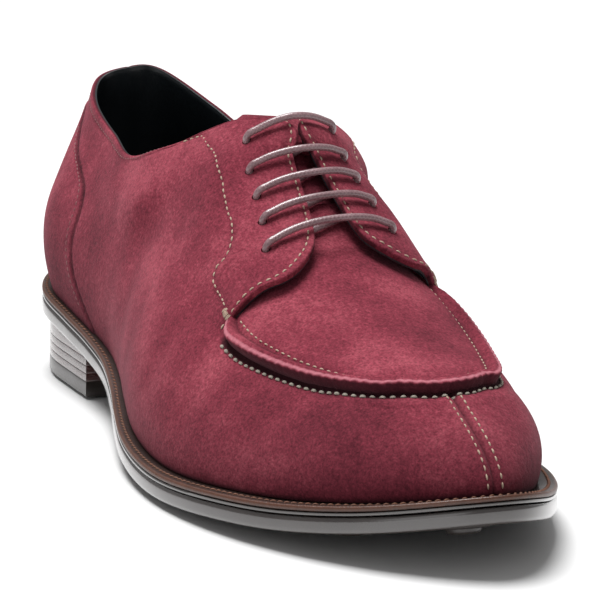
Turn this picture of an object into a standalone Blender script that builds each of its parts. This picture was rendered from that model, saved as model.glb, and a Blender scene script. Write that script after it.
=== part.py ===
"""A right split toe derby shoe as faceted solids: toe along +X, medial side +Y, standing on z = 0.

Lengths below are in millimetres and angles in degrees; solids are written to the scene in metres.
A place on the upper is a turn (0 at the heel's back, 1 at the toe), a share s of the rib that climbs
from the welt to the rib's head, a side (-1 lateral, +1 medial) and a lift off the upper's bare form.
"""
import math

import bmesh
import bpy
import numpy as np
from mathutils import Vector

METRE = 0.001
GAP = 0.3

# Driving sizes
LENGTH = 303.0
WIDTH = 107.0
HEIGHT = 96.0
HEEL_RISE = 19.5

# Sole
OUTSOLE = 5.0
MIDSOLE = 3.2
WELT_HEEL = 3.5
WELT_TOE = 7.0
WELT_WAIST = 0.3
WAIST = (0.40, 0.16)
WELT_WIDENS = 0.35
SOLE_TURNS = 41

# Studs
STUD = 9.6
STUD_DROP = 2.0
STUD_SNAP = 0.6
STUD_SIDES = 10

# Heel
BREAST = 74.0
HEEL_INSET = 2.6
HEEL_STUD = 0.8
TOP_PIECE = 6.0
LIFT = 2.6
LIFTS = 4
HEEL_TURNS = 13
NAIL = 3.0
NAIL_DEPTH = 3.2
NAIL_INSET = 7.0
NAIL_TURNS = (0.06, 0.28)
NAILS = 8
NAIL_SIDES = 8

# Insole
INSOLE = 3.0
INSOLE_ENDS = (0.03, 0.94)
INSOLE_TURNS = 31
INSOLE_CLEARANCE = 1.3

# Upper
WALL = 2.2
TAB_LIFT = 5.0
TAB_START = 0.54
TAB_FULL = 0.78
PANEL_BEND = 4.0
CLIMB_CROWD = 0.75
LIP_LIFT = 3.8
LIP_PROFILE = ((0.0, 0.85), (0.8, 1.0), (3.0, 1.0), (4.6, 0.0))
APRON_DEPTH = 1.4
TONGUE = 2.4
HOLE = 4.2
HOLE_SIDES = 10
NORMAL_BLEND = 0.1

# Lace: its thickness, its lifts below and above the facings and the run of its turns through a hole
LACE = 2.2
LACE_STEP = 2.8
LACE_UNDER = 0.6
LACE_OVER = 7.3
LACE_TURN = 0.02
LACE_NECK = 0.6
LACE_RIM = 0.7
LACE_BEND = 0.4

# Colour, roughness and metallic value of each finish
FINISHES = {
    "suede": ((0.30, 0.055, 0.085), 0.95, 0.0),
    "lining": ((0.015, 0.02, 0.025), 0.6, 0.0),
    "welt": ((0.05, 0.022, 0.014), 0.45, 0.0),
    "rubber": ((0.03, 0.026, 0.025), 0.35, 0.0),
    "heel leather": ((0.035, 0.015, 0.01), 0.25, 0.0),
    "brass": ((0.75, 0.55, 0.22), 0.3, 1.0),
    "waxed cord": ((0.06, 0.018, 0.022), 0.55, 0.0),
}

# The sole's edge: place along the length, then half widths as shares of WIDTH
SOLE_COLUMNS = ("along", "lateral", "medial")
SOLE_ROWS = (
    (0.000, 0.000, 0.000),
    (0.033, 0.238, 0.220),
    (0.115, 0.360, 0.326),
    (0.200, 0.370, 0.314),
    (0.265, 0.368, 0.290),
    (0.330, 0.378, 0.274),
    (0.396, 0.416, 0.277),
    (0.462, 0.468, 0.307),
    (0.528, 0.515, 0.360),
    (0.594, 0.542, 0.416),
    (0.660, 0.547, 0.460),
    (0.726, 0.523, 0.477),
    (0.792, 0.469, 0.455),
    (0.858, 0.382, 0.396),
    (0.924, 0.252, 0.302),
    (0.974, 0.104, 0.200),
    (1.000, -0.062, 0.062),
)

# The sole's underside: place along the length, height above the studs as a share of HEEL_RISE
RISE_COLUMNS = ("along", "rise")
RISE_ROWS = (
    (0.000, 1.080),
    (0.090, 0.965),
    (0.200, 0.790),
    (0.300, 0.575),
    (0.430, 0.245),
    (0.545, 0.058),
    (0.660, 0.000),
    (0.760, 0.082),
    (0.860, 0.222),
    (0.940, 0.450),
    (1.000, 0.720),
)

# The upper's ribs, one row from the heel to the toe for each foot place: the rib's top end as shares of
# LENGTH, WIDTH and HEIGHT, the reach of its foot and head as shares of HEIGHT and their angles in degrees
RIB_COLUMNS = ("foot", "x", "lateral_y", "medial_y", "lateral_z", "medial_z",
               "foot_reach", "lateral_lean", "medial_lean", "head_reach", "lateral_fall", "medial_fall")
RIB_ROWS = (
    (0.000, 0.022, 0.000, 0.000, 1.000, 1.000, 0.31, 16, 16, 0.29, 77, 77),
    (0.030, 0.031, -0.112, 0.114, 0.968, 0.985, 0.32, 17, 15, 0.27, 77, 79),
    (0.100, 0.098, -0.188, 0.216, 0.922, 0.890, 0.31, 18, 14, 0.23, 77, 80),
    (0.200, 0.192, -0.218, 0.266, 0.868, 0.815, 0.26, 15, 14, 0.19, 74, 76),
    (0.280, 0.280, -0.240, 0.280, 0.842, 0.808, 0.22, 13, 20, 0.17, 69, 68),
    (0.360, 0.362, -0.190, 0.256, 0.912, 0.885, 0.22, 14, 26, 0.24, 60, 56),
    (0.420, 0.434, -0.036, 0.162, 1.005, 0.985, 0.22, 18, 28, 0.32, 34, 27),
    (0.460, 0.480, 0.048, 0.048, 1.000, 1.000, 0.22, 20, 28, 0.34, 12, 6),
    (0.520, 0.502, 0.045, 0.045, 0.932, 0.932, 0.22, 22, 25, 0.35, 10, 3),
    (0.600, 0.553, 0.046, 0.046, 0.820, 0.820, 0.21, 24, 24, 0.36, 6, -3),
    (0.700, 0.638, 0.045, 0.045, 0.671, 0.671, 0.18, 25, 21, 0.355, 3, 1),
    (0.800, 0.730, 0.048, 0.048, 0.566, 0.566, 0.16, 20, 18, 0.345, 4, 5),
    (0.900, 0.792, 0.054, 0.054, 0.527, 0.527, 0.17, 14, 15, 0.345, 9, 11),
    (0.970, 0.792, 0.054, 0.054, 0.527, 0.527, 0.15, 9, 11, 0.32, 12, 15),
    (1.000, 0.792, 0.054, 0.054, 0.527, 0.527, 0.12, 7, 7, 0.31, 12, 12),
)


def column(rows, columns, name):
    """One named column of a table."""
    return np.array([row[columns.index(name)] for row in rows], float)


def blend(knots, values, at):
    """Smooth curve through the values at the knots, read at the given places."""
    knots = np.asarray(knots, float)
    values = np.asarray(values, float)
    at = np.clip(np.asarray(at, float), knots[0], knots[-1])
    gaps = np.diff(knots)
    slopes = np.diff(values) / gaps
    tangents = np.empty_like(values)
    tangents[1:-1] = (slopes[:-1] * gaps[1:] + slopes[1:] * gaps[:-1]) / (gaps[:-1] + gaps[1:])
    tangents[0] = 1.5 * slopes[0] - 0.5 * tangents[1]
    tangents[-1] = 1.5 * slopes[-1] - 0.5 * tangents[-2]
    i = np.clip(np.searchsorted(knots, at, side="right") - 1, 0, len(knots) - 2)
    u = (at - knots[i]) / gaps[i]
    start = (1 + 2 * u) * (1 - u) ** 2 * values[i] + u * (1 - u) ** 2 * gaps[i] * tangents[i]
    end = u * u * (3 - 2 * u) * values[i + 1] + u * u * (u - 1) * gaps[i] * tangents[i + 1]
    return start + end


def turn(share):
    """Share of the length as a turn from heel (0) to toe (1), close-set at both ends."""
    return np.arccos(1 - 2 * np.clip(share, 0, 1)) / math.pi


def length_at(t):
    """Distance from the heel's back for a turn."""
    return LENGTH * (1 - np.cos(math.pi * np.asarray(t, float))) / 2


def side_column(rows, columns, name, side):
    """The lateral or medial twin of a column, side -1 or +1."""
    return column(rows, columns, ("lateral_" if side < 0 else "medial_") + name)


def sole_edge(t, side):
    """Plan points of the sole's edge."""
    knots = turn(column(SOLE_ROWS, SOLE_COLUMNS, "along"))
    lateral = column(SOLE_ROWS, SOLE_COLUMNS, "lateral")
    medial = column(SOLE_ROWS, SOLE_COLUMNS, "medial")
    middle = blend(knots, (medial - lateral) / 2, t)
    half = blend(knots, (medial + lateral) / 2, t)
    return np.stack([length_at(t), (middle + side * half) * WIDTH], -1)


def sole_outward(t, side):
    """Unit plan normals of the sole's edge, away from the shoe."""
    step = 1e-3
    t = np.asarray(t, float)
    run = sole_edge(np.clip(t + step, 0, 1), side) - sole_edge(np.clip(t - step, 0, 1), side)
    run /= np.linalg.norm(run, axis=-1, keepdims=True)
    away = np.stack([-side * run[..., 1], side * run[..., 0]], -1)
    away[t <= 0] = (-1.0, 0.0)
    away[t >= 1] = (1.0, 0.0)
    return away


def sole_rise(x):
    """Height of the outsole's underside above the floor."""
    places = column(RISE_ROWS, RISE_COLUMNS, "along") * LENGTH
    return STUD_DROP + blend(places, column(RISE_ROWS, RISE_COLUMNS, "rise"), x) * HEEL_RISE


def welt_show(t):
    """Width of the welt seen beyond the upper."""
    t = np.asarray(t, float)
    waist = np.exp(-((t - WAIST[0]) / WAIST[1]) ** 2)
    forepart = np.clip((t - WELT_WIDENS) / (1 - WELT_WIDENS), 0, 1)
    return WELT_HEEL + (WELT_TOE - WELT_HEEL) * forepart - WELT_WAIST * waist


def feather_line(t, side):
    """Plan points where the upper's outer face meets the welt."""
    return sole_edge(t, side) - sole_outward(t, side) * welt_show(t)[..., None]


def seat(x):
    """Height of the midsole's top."""
    return sole_rise(x) + OUTSOLE + MIDSOLE


def rib(t, side):
    """The four control points of the rib at each turn."""
    knots = turn(column(RIB_ROWS, RIB_COLUMNS, "foot"))

    def read(name):
        return blend(knots, column(RIB_ROWS, RIB_COLUMNS, name), t)

    def read_side(name):
        return blend(knots, side_column(RIB_ROWS, RIB_COLUMNS, name, side), t)

    plan = feather_line(t, side)
    foot = np.concatenate([plan, seat(plan[..., :1]) + GAP], -1)
    head = np.stack([read("x") * LENGTH, read_side("y") * WIDTH, read_side("z") * HEIGHT], -1)
    outward = np.concatenate([sole_outward(t, side), np.zeros(np.shape(t) + (1,))], -1)
    up = np.array([0.0, 0.0, 1.0])
    lean = np.radians(read_side("lean"))[..., None]
    fall = np.radians(read_side("fall"))[..., None]
    low = foot + (read("foot_reach") * HEIGHT)[..., None] * (np.sin(lean) * outward + np.cos(lean) * up)
    high = head + (read("head_reach") * HEIGHT)[..., None] * (np.cos(fall) * outward - np.sin(fall) * up)
    return foot, low, high, head


def skin(t, s, side):
    """Points of the upper's bare form: t heel to toe, s from the welt (0) to the rib's head (1)."""
    foot, low, high, head = rib(t, side)
    s = np.asarray(s, float)[..., None]
    return ((1 - s) ** 3 * foot + 3 * (1 - s) ** 2 * s * low
            + 3 * (1 - s) * s * s * high + s ** 3 * head)


# The side panels' upper edge from the toe's split seam back to the heel, as columns of the panel: the turn
# of the column's foot, the turn and rib shares of its top end and the lift of the edge as a share of TAB_LIFT
PANEL_COLUMNS = ("foot", "turn", "lateral", "medial", "lift")
PANEL_ROWS = (
    (1.000, 1.000, 0.720, 0.720, 0.00),
    (0.950, 0.950, 0.712, 0.728, 0.00),
    (0.890, 0.890, 0.715, 0.732, 0.00),
    (0.840, 0.840, 0.715, 0.725, 0.00),
    (0.790, 0.790, 0.695, 0.705, 0.00),
    (0.750, 0.750, 0.660, 0.682, 0.00),
    (0.710, 0.710, 0.622, 0.660, 0.00),
    (0.670, 0.670, 0.588, 0.645, 0.00),
    (0.640, 0.640, 0.572, 0.636, 0.00),
    (0.620, 0.624, 0.570, 0.632, 0.00),
    (0.602, 0.613, 0.585, 0.634, 0.00),
    (0.587, 0.616, 0.655, 0.690, 0.50),
    (0.573, 0.621, 0.725, 0.745, 0.90),
    (0.558, 0.627, 0.790, 0.800, 1.00),
    (0.541, 0.624, 0.850, 0.865, 1.00),
    (0.522, 0.611, 0.912, 0.932, 1.00),
    (0.503, 0.590, 0.942, 0.955, 1.00),
    (0.485, 0.562, 0.958, 0.967, 1.00),
    (0.462, 0.528, 0.972, 0.978, 1.00),
    (0.440, 0.494, 0.986, 0.990, 1.00),
    (0.420, 0.470, 0.997, 0.997, 1.00),
    (0.400, 0.450, 1.000, 1.000, 0.90),
    (0.380, 0.428, 1.000, 1.000, 0.60),
    (0.350, 0.385, 1.000, 1.000, 0.28),
    (0.310, 0.325, 1.000, 1.000, 0.06),
    (0.260, 0.262, 1.000, 1.000, 0.00),
    (0.200, 0.200, 1.000, 1.000, 0.00),
    (0.140, 0.140, 1.000, 1.000, 0.00),
    (0.090, 0.090, 1.000, 1.000, 0.00),
    (0.045, 0.045, 1.000, 1.000, 0.00),
    (0.000, 0.000, 1.000, 1.000, 0.00),
)

# The apron from the toe back to its end below the facings: rib shares of its edge and the lifts, as
# shares of LIP_LIFT, of the raised lip and of the flat behind it
APRON_COLUMNS = ("turn", "lateral", "medial", "lip", "flat")
APRON_ROWS = (
    (1.000, 0.700, 0.700, 1.00, 0.45),
    (0.950, 0.692, 0.708, 1.00, 0.45),
    (0.890, 0.695, 0.712, 1.00, 0.45),
    (0.840, 0.695, 0.705, 1.00, 0.45),
    (0.790, 0.675, 0.685, 1.00, 0.45),
    (0.750, 0.642, 0.662, 1.00, 0.45),
    (0.710, 0.604, 0.640, 1.00, 0.45),
    (0.670, 0.570, 0.625, 1.00, 0.40),
    (0.640, 0.554, 0.616, 0.95, 0.30),
    (0.622, 0.556, 0.616, 0.75, 0.15),
    (0.608, 0.600, 0.640, 0.10, -0.12),
    (0.598, 0.680, 0.700, -0.24, -0.26),
    (0.588, 0.740, 0.750, -0.26, -0.26),
    (0.575, 0.790, 0.795, -0.26, -0.26),
    (0.560, 0.830, 0.835, -0.26, -0.26),
)

# The lace holes from the top pair down: turn, then rib shares
HOLE_COLUMNS = ("turn", "lateral", "medial")
HOLE_ROWS = (
    (0.476, 0.865, 0.885),
    (0.516, 0.850, 0.872),
    (0.546, 0.838, 0.862),
    (0.572, 0.820, 0.846),
    (0.596, 0.790, 0.818),
)

# The lace's hidden run from the bottom medial hole back up to the top one, below the medial facing
RETURN_COLUMNS = ("turn", "medial")
RETURN_ROWS = (
    (0.598, 0.802),
    (0.590, 0.788),
    (0.572, 0.790),
    (0.546, 0.805),
    (0.516, 0.820),
    (0.484, 0.832),
)

# Parts of the way from a medial hole to the next lateral one
SLANT_PARTS = (0.25, 0.50, 0.75)

# The tongue from below the apron up to the facings' tops: rib shares of its edges and its lift as a share of
# TAB_LIFT
TONGUE_COLUMNS = ("turn", "lateral", "medial", "lift")
TONGUE_ROWS = (
    (0.580, 0.860, 0.860, -0.66),
    (0.563, 0.850, 0.850, -0.66),
    (0.548, 0.820, 0.825, -0.26),
    (0.528, 0.785, 0.795, -0.24),
    (0.500, 0.765, 0.780, -0.24),
    (0.474, 0.770, 0.790, -0.24),
)

# Studs below the forefoot: place along the length and across it, 0 lateral to 1 medial
STUD_COLUMNS = ("along", "across")
STUD_ROWS = (
    (0.935, 0.50),
    (0.860, 0.24),
    (0.785, 0.18),
    (0.705, 0.16),
    (0.625, 0.17),
    (0.860, 0.76),
    (0.785, 0.82),
    (0.705, 0.84),
    (0.625, 0.83),
    (0.825, 0.50),
    (0.735, 0.50),
    (0.650, 0.50),
)

# Studs of the heel's top piece
HEEL_STUD_ROWS = (
    (0.185, 0.27),
    (0.185, 0.73),
    (0.085, 0.50),
)


def weld(points):
    """Merge coincident points: the points left, and for each given point its new index."""
    keys = {}
    kept = []
    index = np.empty(len(points), int)
    for i, point in enumerate(points):
        key = tuple(np.round(point, 3))
        if key not in keys:
            keys[key] = len(kept)
            kept.append(point)
        index[i] = keys[key]
    return np.array(kept), index


def grid_faces(rows, columns, ring=False):
    """Triangles of a grid of points; a ring also joins its last row to its first."""
    faces = []
    for i in range(rows if ring else rows - 1):
        k = (i + 1) % rows
        for j in range(columns - 1):
            a, b, c, d = i * columns + j, k * columns + j, k * columns + j + 1, i * columns + j + 1
            faces += [(a, b, c), (a, c, d)]
    return faces


def open_edges(faces):
    """Directed edges that only one face uses."""
    used = {(face[i], face[(i + 1) % 3]) for face in faces for i in range(3)}
    return [edge for edge in used if (edge[1], edge[0]) not in used]


def point_normals(points, faces):
    """Area-weighted unit normals at the points."""
    corners = points[np.array(faces)]
    areas = np.cross(corners[:, 1] - corners[:, 0], corners[:, 2] - corners[:, 0])
    normals = np.zeros_like(points)
    for k in range(3):
        np.add.at(normals, np.array(faces)[:, k], areas)
    return normals / np.linalg.norm(normals, axis=1, keepdims=True)


def thicken(grid, over, under, ring=False):
    """Closed solid about a grid of surface points: each is lifted by over and by under along its normal."""
    rows, columns = grid.shape[:2]
    points, index = weld(grid.reshape(-1, 3))
    faces = [tuple(index[list(face)]) for face in grid_faces(rows, columns, ring)]
    faces = [face for face in faces if len(set(face)) == 3]
    normals = point_normals(points, faces)
    if np.sum(normals * (points - points.mean(axis=0))) < 0:
        faces = [face[::-1] for face in faces]
        normals = -normals
    lifts = np.zeros((2, len(points)))
    lifts[0, index] = np.broadcast_to(over, (rows, columns)).ravel()
    lifts[1, index] = np.broadcast_to(under, (rows, columns)).ravel()
    top = points + normals * lifts[0][:, None]
    bottom = points + normals * lifts[1][:, None]
    count = len(points)
    closed = faces + [tuple(count + i for i in face[::-1]) for face in faces]
    for a, b in open_edges(faces):
        closed += [(a, count + a, count + b), (a, count + b, b)]
    return np.concatenate([top, bottom]), closed


def between(top, bottom):
    """Closed solid between two grids of points with the same plan."""
    rows, columns = top.shape[:2]
    points, index = weld(np.concatenate([top.reshape(-1, 3), bottom.reshape(-1, 3)]))
    half = rows * columns
    sheet = grid_faces(rows, columns)
    upper = [tuple(index[list(face)]) for face in sheet]
    lower = [tuple(index[[half + i for i in face[::-1]]]) for face in sheet]
    upper = [face for face in upper if len(set(face)) == 3]
    lower = [face for face in lower if len(set(face)) == 3]
    partner = {index[i]: index[half + i] for i in range(half)}
    closed = upper + lower
    for a, b in open_edges(upper):
        closed += [(a, partner[a], partner[b]), (a, partner[b], b)]
    return points, closed


def add_object(name, mesh, middle=(0.0, 0.0, 0.0)):
    """A scene object of a mesh, set at a place of the shoe."""
    thing = bpy.data.objects.new(name, mesh)
    thing.location = METRE * (np.asarray(middle) - origin())
    bpy.context.scene.collection.objects.link(thing)
    return thing


def add_solid(name, points, faces):
    """A scene object of one closed mesh, faces outward."""
    mesh = bpy.data.meshes.new(name)
    work = bmesh.new()
    corners = [work.verts.new(METRE * point) for point in np.asarray(points)]
    for face in faces:
        work.faces.new([corners[i] for i in face])
    bmesh.ops.recalc_face_normals(work, faces=work.faces)
    work.to_mesh(mesh)
    work.free()
    return add_object(name, mesh)


def combine(solid, other, operation):
    """Join or cut a solid with another, which is used up."""
    modifier = solid.modifiers.new(operation, "BOOLEAN")
    modifier.operation = operation
    modifier.solver = "EXACT"
    modifier.object = other
    evaluated = solid.evaluated_get(bpy.context.evaluated_depsgraph_get())
    mesh = bpy.data.meshes.new_from_object(evaluated)
    solid.modifiers.clear()
    solid.data = mesh
    bpy.data.objects.remove(other)


def origin():
    """Plan centre of the sole's box, on the floor."""
    t = np.linspace(0, 1, 201)
    across = np.concatenate([sole_edge(t, -1)[:, 1], sole_edge(t, 1)[:, 1]])
    return np.array([LENGTH / 2, (across.min() + across.max()) / 2, 0.0])


def add_drum(name, middle, axis, radius, low, high, sides):
    """A round drum about an axis through a place of the shoe, from low to high along the axis."""
    mesh = bpy.data.meshes.new(name)
    work = bmesh.new()
    bmesh.ops.create_cone(work, cap_ends=True, segments=sides, radius1=METRE * radius, radius2=METRE * radius,
                          depth=METRE * (high - low))
    bmesh.ops.translate(work, verts=work.verts, vec=(0.0, 0.0, METRE * (low + high) / 2))
    work.to_mesh(mesh)
    work.free()
    thing = add_object(name, mesh, middle)
    thing.rotation_euler = Vector(axis).to_track_quat("Z", "Y").to_euler()
    return thing


def dress(thing, finish):
    """Give a piece its finish."""
    colour, roughness, metallic = FINISHES[finish]
    material = bpy.data.materials.get(finish)
    if material is None:
        material = bpy.data.materials.new(finish)
        material.use_nodes = True
        shader = material.node_tree.nodes["Principled BSDF"]
        shader.inputs["Base Color"].default_value = (*colour, 1.0)
        shader.inputs["Roughness"].default_value = roughness
        shader.inputs["Metallic"].default_value = metallic
    thing.data.materials.clear()
    thing.data.materials.append(material)


def plate(edge, turns, spans, low, high):
    """Plate inside a plan edge, its underside and top at heights read from x."""
    shares = np.linspace(0, 1, spans + 1)[None, :, None]
    lateral = edge(turns, -1)[:, None]
    medial = edge(turns, 1)[:, None]
    plan = lateral * (1 - shares) + medial * shares
    top = np.concatenate([plan, high(plan[..., :1])], -1)
    bottom = np.concatenate([plan, low(plan[..., :1])], -1)
    return between(top, bottom)


def stations(rows, columns, names, steps):
    """Named columns of a table, read smoothly at the given number of steps from row to row."""
    knots = np.arange(len(rows))
    at = np.linspace(0, len(rows) - 1, steps * (len(rows) - 1) + 1)
    return [blend(knots, column(rows, columns, name), at) for name in names]


def ease(value):
    """Smooth step from 0 to 1."""
    value = np.clip(value, 0, 1)
    return value * value * (3 - 2 * value)


def panel_grid(side, steps, rows):
    """Turns, rib shares and lifts of one side panel, toe to heel, welt to edge."""
    name = "lateral" if side < 0 else "medial"
    foot, turned, top, raised = stations(PANEL_ROWS, PANEL_COLUMNS, ("foot", "turn", name, "lift"), steps)
    climb = np.linspace(0, 1, rows)[None, :] ** CLIMB_CROWD
    top = np.minimum(top, 1.0)[:, None]
    share = top * climb
    t = np.clip(foot[:, None] + (turned - foot)[:, None] * climb ** PANEL_BEND, 0, 1)
    full = np.maximum(np.minimum(top, TAB_FULL), TAB_START + 0.01)
    lift = TAB_LIFT * np.clip(raised, 0, 1)[:, None] * ease((share - TAB_START) / (full - TAB_START))
    return t, share, lift


def side_panels(steps=2, rows=10):
    """The side panels with their facings: one closed band from the toe round the heel."""
    lateral = panel_grid(-1, steps, rows)
    medial = panel_grid(1, steps, rows)
    near = skin(lateral[0], lateral[1], -1)
    far = skin(medial[0], medial[1], 1)
    band = np.concatenate([near, far[-2:0:-1]])
    lift = np.concatenate([lateral[2], medial[2][-2:0:-1]])
    return thicken(band, lift, lift - WALL, ring=True)


def apron(steps=1, rows=3):
    """The apron with its raised lip, its edge let into the side panels."""
    halves = []
    lifts = []
    for side, name in ((-1, "lateral"), (1, "medial")):
        t, edge, lip, flat = stations(APRON_ROWS, APRON_COLUMNS, ("turn", name, "lip", "flat"), steps)
        t = np.clip(t, 0, 1)[:, None]
        edge = edge[:, None]
        reach = np.linalg.norm(skin(t, np.ones_like(t), side) - skin(t, edge, side), axis=-1)
        away = np.concatenate([np.array(LIP_PROFILE)[:, 0], np.zeros(rows)])[None, :]
        share = edge + (1 - edge) * np.minimum(away / reach, 1.0)
        profile = len(LIP_PROFILE)
        rest = np.linspace(0, 1, rows + 1)[1:][None, :]
        share[:, profile:] = share[:, profile - 1:profile] * (1 - rest) + rest
        raised = np.concatenate([np.array(LIP_PROFILE)[:, 1], np.zeros(rows)])[None, :]
        halves.append(skin(np.broadcast_to(t, share.shape), share, side))
        lifts.append(LIP_LIFT * (flat[:, None] + (lip - flat)[:, None] * raised))
    grid = np.concatenate([halves[0], halves[1][:, -2::-1]], 1)
    lift = np.concatenate([lifts[0], lifts[1][:, -2::-1]], 1)
    return thicken(grid, lift, np.minimum(lift, 0) - APRON_DEPTH)


def place(t, s, side, lift):
    """A point off the bare form, its normal eased over the instep's middle."""
    return skin(t, s, side) + lift * skin_normal(t, s, side)


def skin_normal(t, s, side):
    """Unit normal of the bare form, shared by both sides at the rib's head."""
    own = side_normal(t, s, side)
    other = side_normal(t, s, -side)
    weight = 0.5 + 0.5 * min((1 - s) / NORMAL_BLEND, 1)
    normal = weight * own + (1 - weight) * other
    return normal / np.linalg.norm(normal)


def side_normal(t, s, side):
    """Unit normal of one side of the bare form."""
    step = 0.004
    s = min(s, 1 - 2 * step)
    along = skin(t + step, s, side) - skin(t - step, s, side)
    climb = skin(t, s + step, side) - skin(t, s - step, side)
    normal = side * np.cross(climb, along)
    return normal / np.linalg.norm(normal)


def upper():
    """Side panels and apron as one hollow solid, with its lace holes."""
    solid = add_solid("upper", *side_panels())
    combine(solid, add_solid("apron", *apron()), "UNION")
    for turned, lateral, medial in HOLE_ROWS:
        for side, share in ((-1, lateral), (1, medial)):
            middle = skin(np.float64(turned), np.float64(share), side)
            axis = skin_normal(turned, share, side)
            hole = add_drum("lace hole", middle, axis, HOLE / 2, TAB_LIFT - 2 * WALL, TAB_LIFT + WALL, HOLE_SIDES)
            combine(solid, hole, "DIFFERENCE")
    dress(solid, "suede")


def tongue(steps=2, rows=4):
    """The tongue below the facings."""
    halves = []
    for side, name in ((-1, "lateral"), (1, "medial")):
        t, edge, lift = stations(TONGUE_ROWS, TONGUE_COLUMNS, ("turn", name, "lift"), steps)
        share = edge[:, None] + (1 - edge[:, None]) * np.linspace(0, 1, rows)[None, :]
        halves.append(skin(np.broadcast_to(t[:, None], share.shape), share, side))
    grid = np.concatenate([halves[0], halves[1][:, -2::-1]], 1)
    lift = TAB_LIFT * lift[:, None]
    dress(add_solid("tongue", *thicken(grid, lift, lift - TONGUE)), "suede")


def inset_edge(depth):
    """Plan edge the given depth inside the sole's edge."""
    return lambda t, side: sole_edge(t, side) - depth * sole_outward(t, side)


def insole():
    """Footbed inside the upper, on the midsole."""
    def edge(t, side):
        return feather_line(t, side) - (WALL + INSOLE_CLEARANCE) * sole_outward(t, side)

    def low(x):
        return seat(x) + GAP

    def high(x):
        return low(x) + INSOLE

    turns = np.linspace(*INSOLE_ENDS, INSOLE_TURNS)
    dress(add_solid("insole", *plate(edge, turns, 2, low, high)), "lining")


def midsole_welt():
    """Leather plate whose rim is the welt."""
    def low(x):
        return sole_rise(x) + OUTSOLE + GAP

    turns = np.linspace(0, 1, SOLE_TURNS)
    dress(add_solid("midsole_welt", *plate(sole_edge, turns, 2, low, seat)), "welt")


def outsole():
    """Outsole with its studs, those at the ball flat on the floor."""
    def high(x):
        return sole_rise(x) + OUTSOLE

    turns = np.linspace(0, 1, SOLE_TURNS)
    solid = add_solid("outsole", *plate(sole_edge, turns, 3, sole_rise, high))
    for along, across in STUD_ROWS:
        middle, axis = stud_place(along, across)
        stud = add_drum("stud", middle, axis, STUD / 2, -OUTSOLE / 2, STUD_DROP, STUD_SIDES)
        combine(solid, stud, "UNION")
    dress(solid, "rubber")


def sole_place(along, across):
    """Plan point of the sole, across it from the lateral edge (0) to the medial one (1)."""
    t = turn(along)
    return sole_edge(t, -1) * (1 - across) + sole_edge(t, 1) * across


def stud_place(along, across):
    """Middle of a stud on the outsole's underside and its downward axis."""
    plan = sole_place(along, across)
    x = plan[0]
    slope = (sole_rise(x + 1) - sole_rise(x - 1)) / 2
    if sole_rise(x) - STUD_DROP < STUD_SNAP:
        return np.array([x, plan[1], STUD_DROP]), np.array([0.0, 0.0, -1.0])
    return np.array([x, plan[1], float(sole_rise(x))]), np.array([float(slope), 0.0, -1.0])


def level(height):
    """A plate's face at one height."""
    return lambda x: np.full_like(x, height)


def heel():
    """Stacked lifts, top piece with its studs, and the nails in it."""
    edge = inset_edge(HEEL_INSET)
    turns = np.linspace(0, float(turn(BREAST / LENGTH)), HEEL_TURNS)
    lows = [TOP_PIECE + i * LIFT for i in range(LIFTS)]
    highs = [level(low) for low in lows[1:]] + [lambda x: sole_rise(x) - GAP]
    for i, (low, high) in enumerate(zip(lows, highs)):
        dress(add_solid("heel_lift_%d" % (i + 1), *plate(edge, turns, 1, level(low), high)), "heel leather")
    top_piece = add_solid("heel_top_piece", *plate(edge, turns, 1, level(HEEL_STUD), level(TOP_PIECE)))
    for along, across in HEEL_STUD_ROWS:
        middle = (*sole_place(along, across), 0.0)
        stud = add_drum("stud", middle, (0, 0, 1), STUD / 2, 0.0, TOP_PIECE / 2, STUD_SIDES)
        combine(top_piece, stud, "UNION")
    for number, middle in enumerate(nail_places()):
        bore = add_drum("bore", middle, (0, 0, 1), NAIL / 2 + GAP, -GAP, NAIL_DEPTH + GAP, NAIL_SIDES)
        combine(top_piece, bore, "DIFFERENCE")
        nail = add_drum("heel_nail_%d" % (number + 1), middle, (0, 0, 1), NAIL / 2, 0.0, NAIL_DEPTH, NAIL_SIDES)
        dress(nail, "brass")
    dress(top_piece, "rubber")


def nail_places():
    """The middles of the nails' heads in the underside of the heel's top piece."""
    edge = inset_edge(HEEL_INSET + NAIL_INSET)
    turns = np.linspace(*NAIL_TURNS, NAILS // 2)
    return [(*edge(np.float64(t), side), HEEL_STUD) for side in (-1, 1) for t in turns]


def cord_line(points, spacing):
    """Points close-set along a smooth line through the given ones."""
    points = np.array(points)
    runs = np.concatenate([[0], np.cumsum(np.linalg.norm(np.diff(points, axis=0), axis=1))])
    at = np.linspace(0, runs[-1], int(runs[-1] / spacing) + 1)
    return np.stack([blend(runs, points[:, k], at) for k in range(3)], 1)


def threaded(turned, share, side):
    """The lace's places through one hole, from below the facing up and over its edge."""
    places = [
        (share + LACE_TURN, LACE_UNDER),
        (share + LACE_TURN / 8, LACE_UNDER + LACE_NECK),
        (share, TAB_LIFT - WALL / 2),
        (share, TAB_LIFT + LACE_RIM),
        (share + LACE_TURN / 2, LACE_OVER - LACE_BEND),
        (share + 2 * LACE_TURN, LACE_OVER),
    ]
    return [place(turned, s, side, lift) for s, lift in places]


def bar(row):
    """One bar of the lace, up through the lateral hole and down through the medial one."""
    turned, lateral, medial = row
    crest = place(turned, 1.0, 1, LACE_OVER)
    return threaded(turned, lateral, -1) + [crest] + threaded(turned, medial, 1)[::-1]


def slant(above, below):
    """The lace's hidden run from a medial hole to the next lateral one."""
    run = []
    for part in SLANT_PARTS:
        across = 1 - 2 * part
        side = 1 if across > 0 else -1
        edge = above[2] if side > 0 else below[1]
        t = above[0] + (below[0] - above[0]) * part
        run.append(place(t, 1 - abs(across) * (1 - edge), side, LACE_UNDER))
    return run


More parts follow.
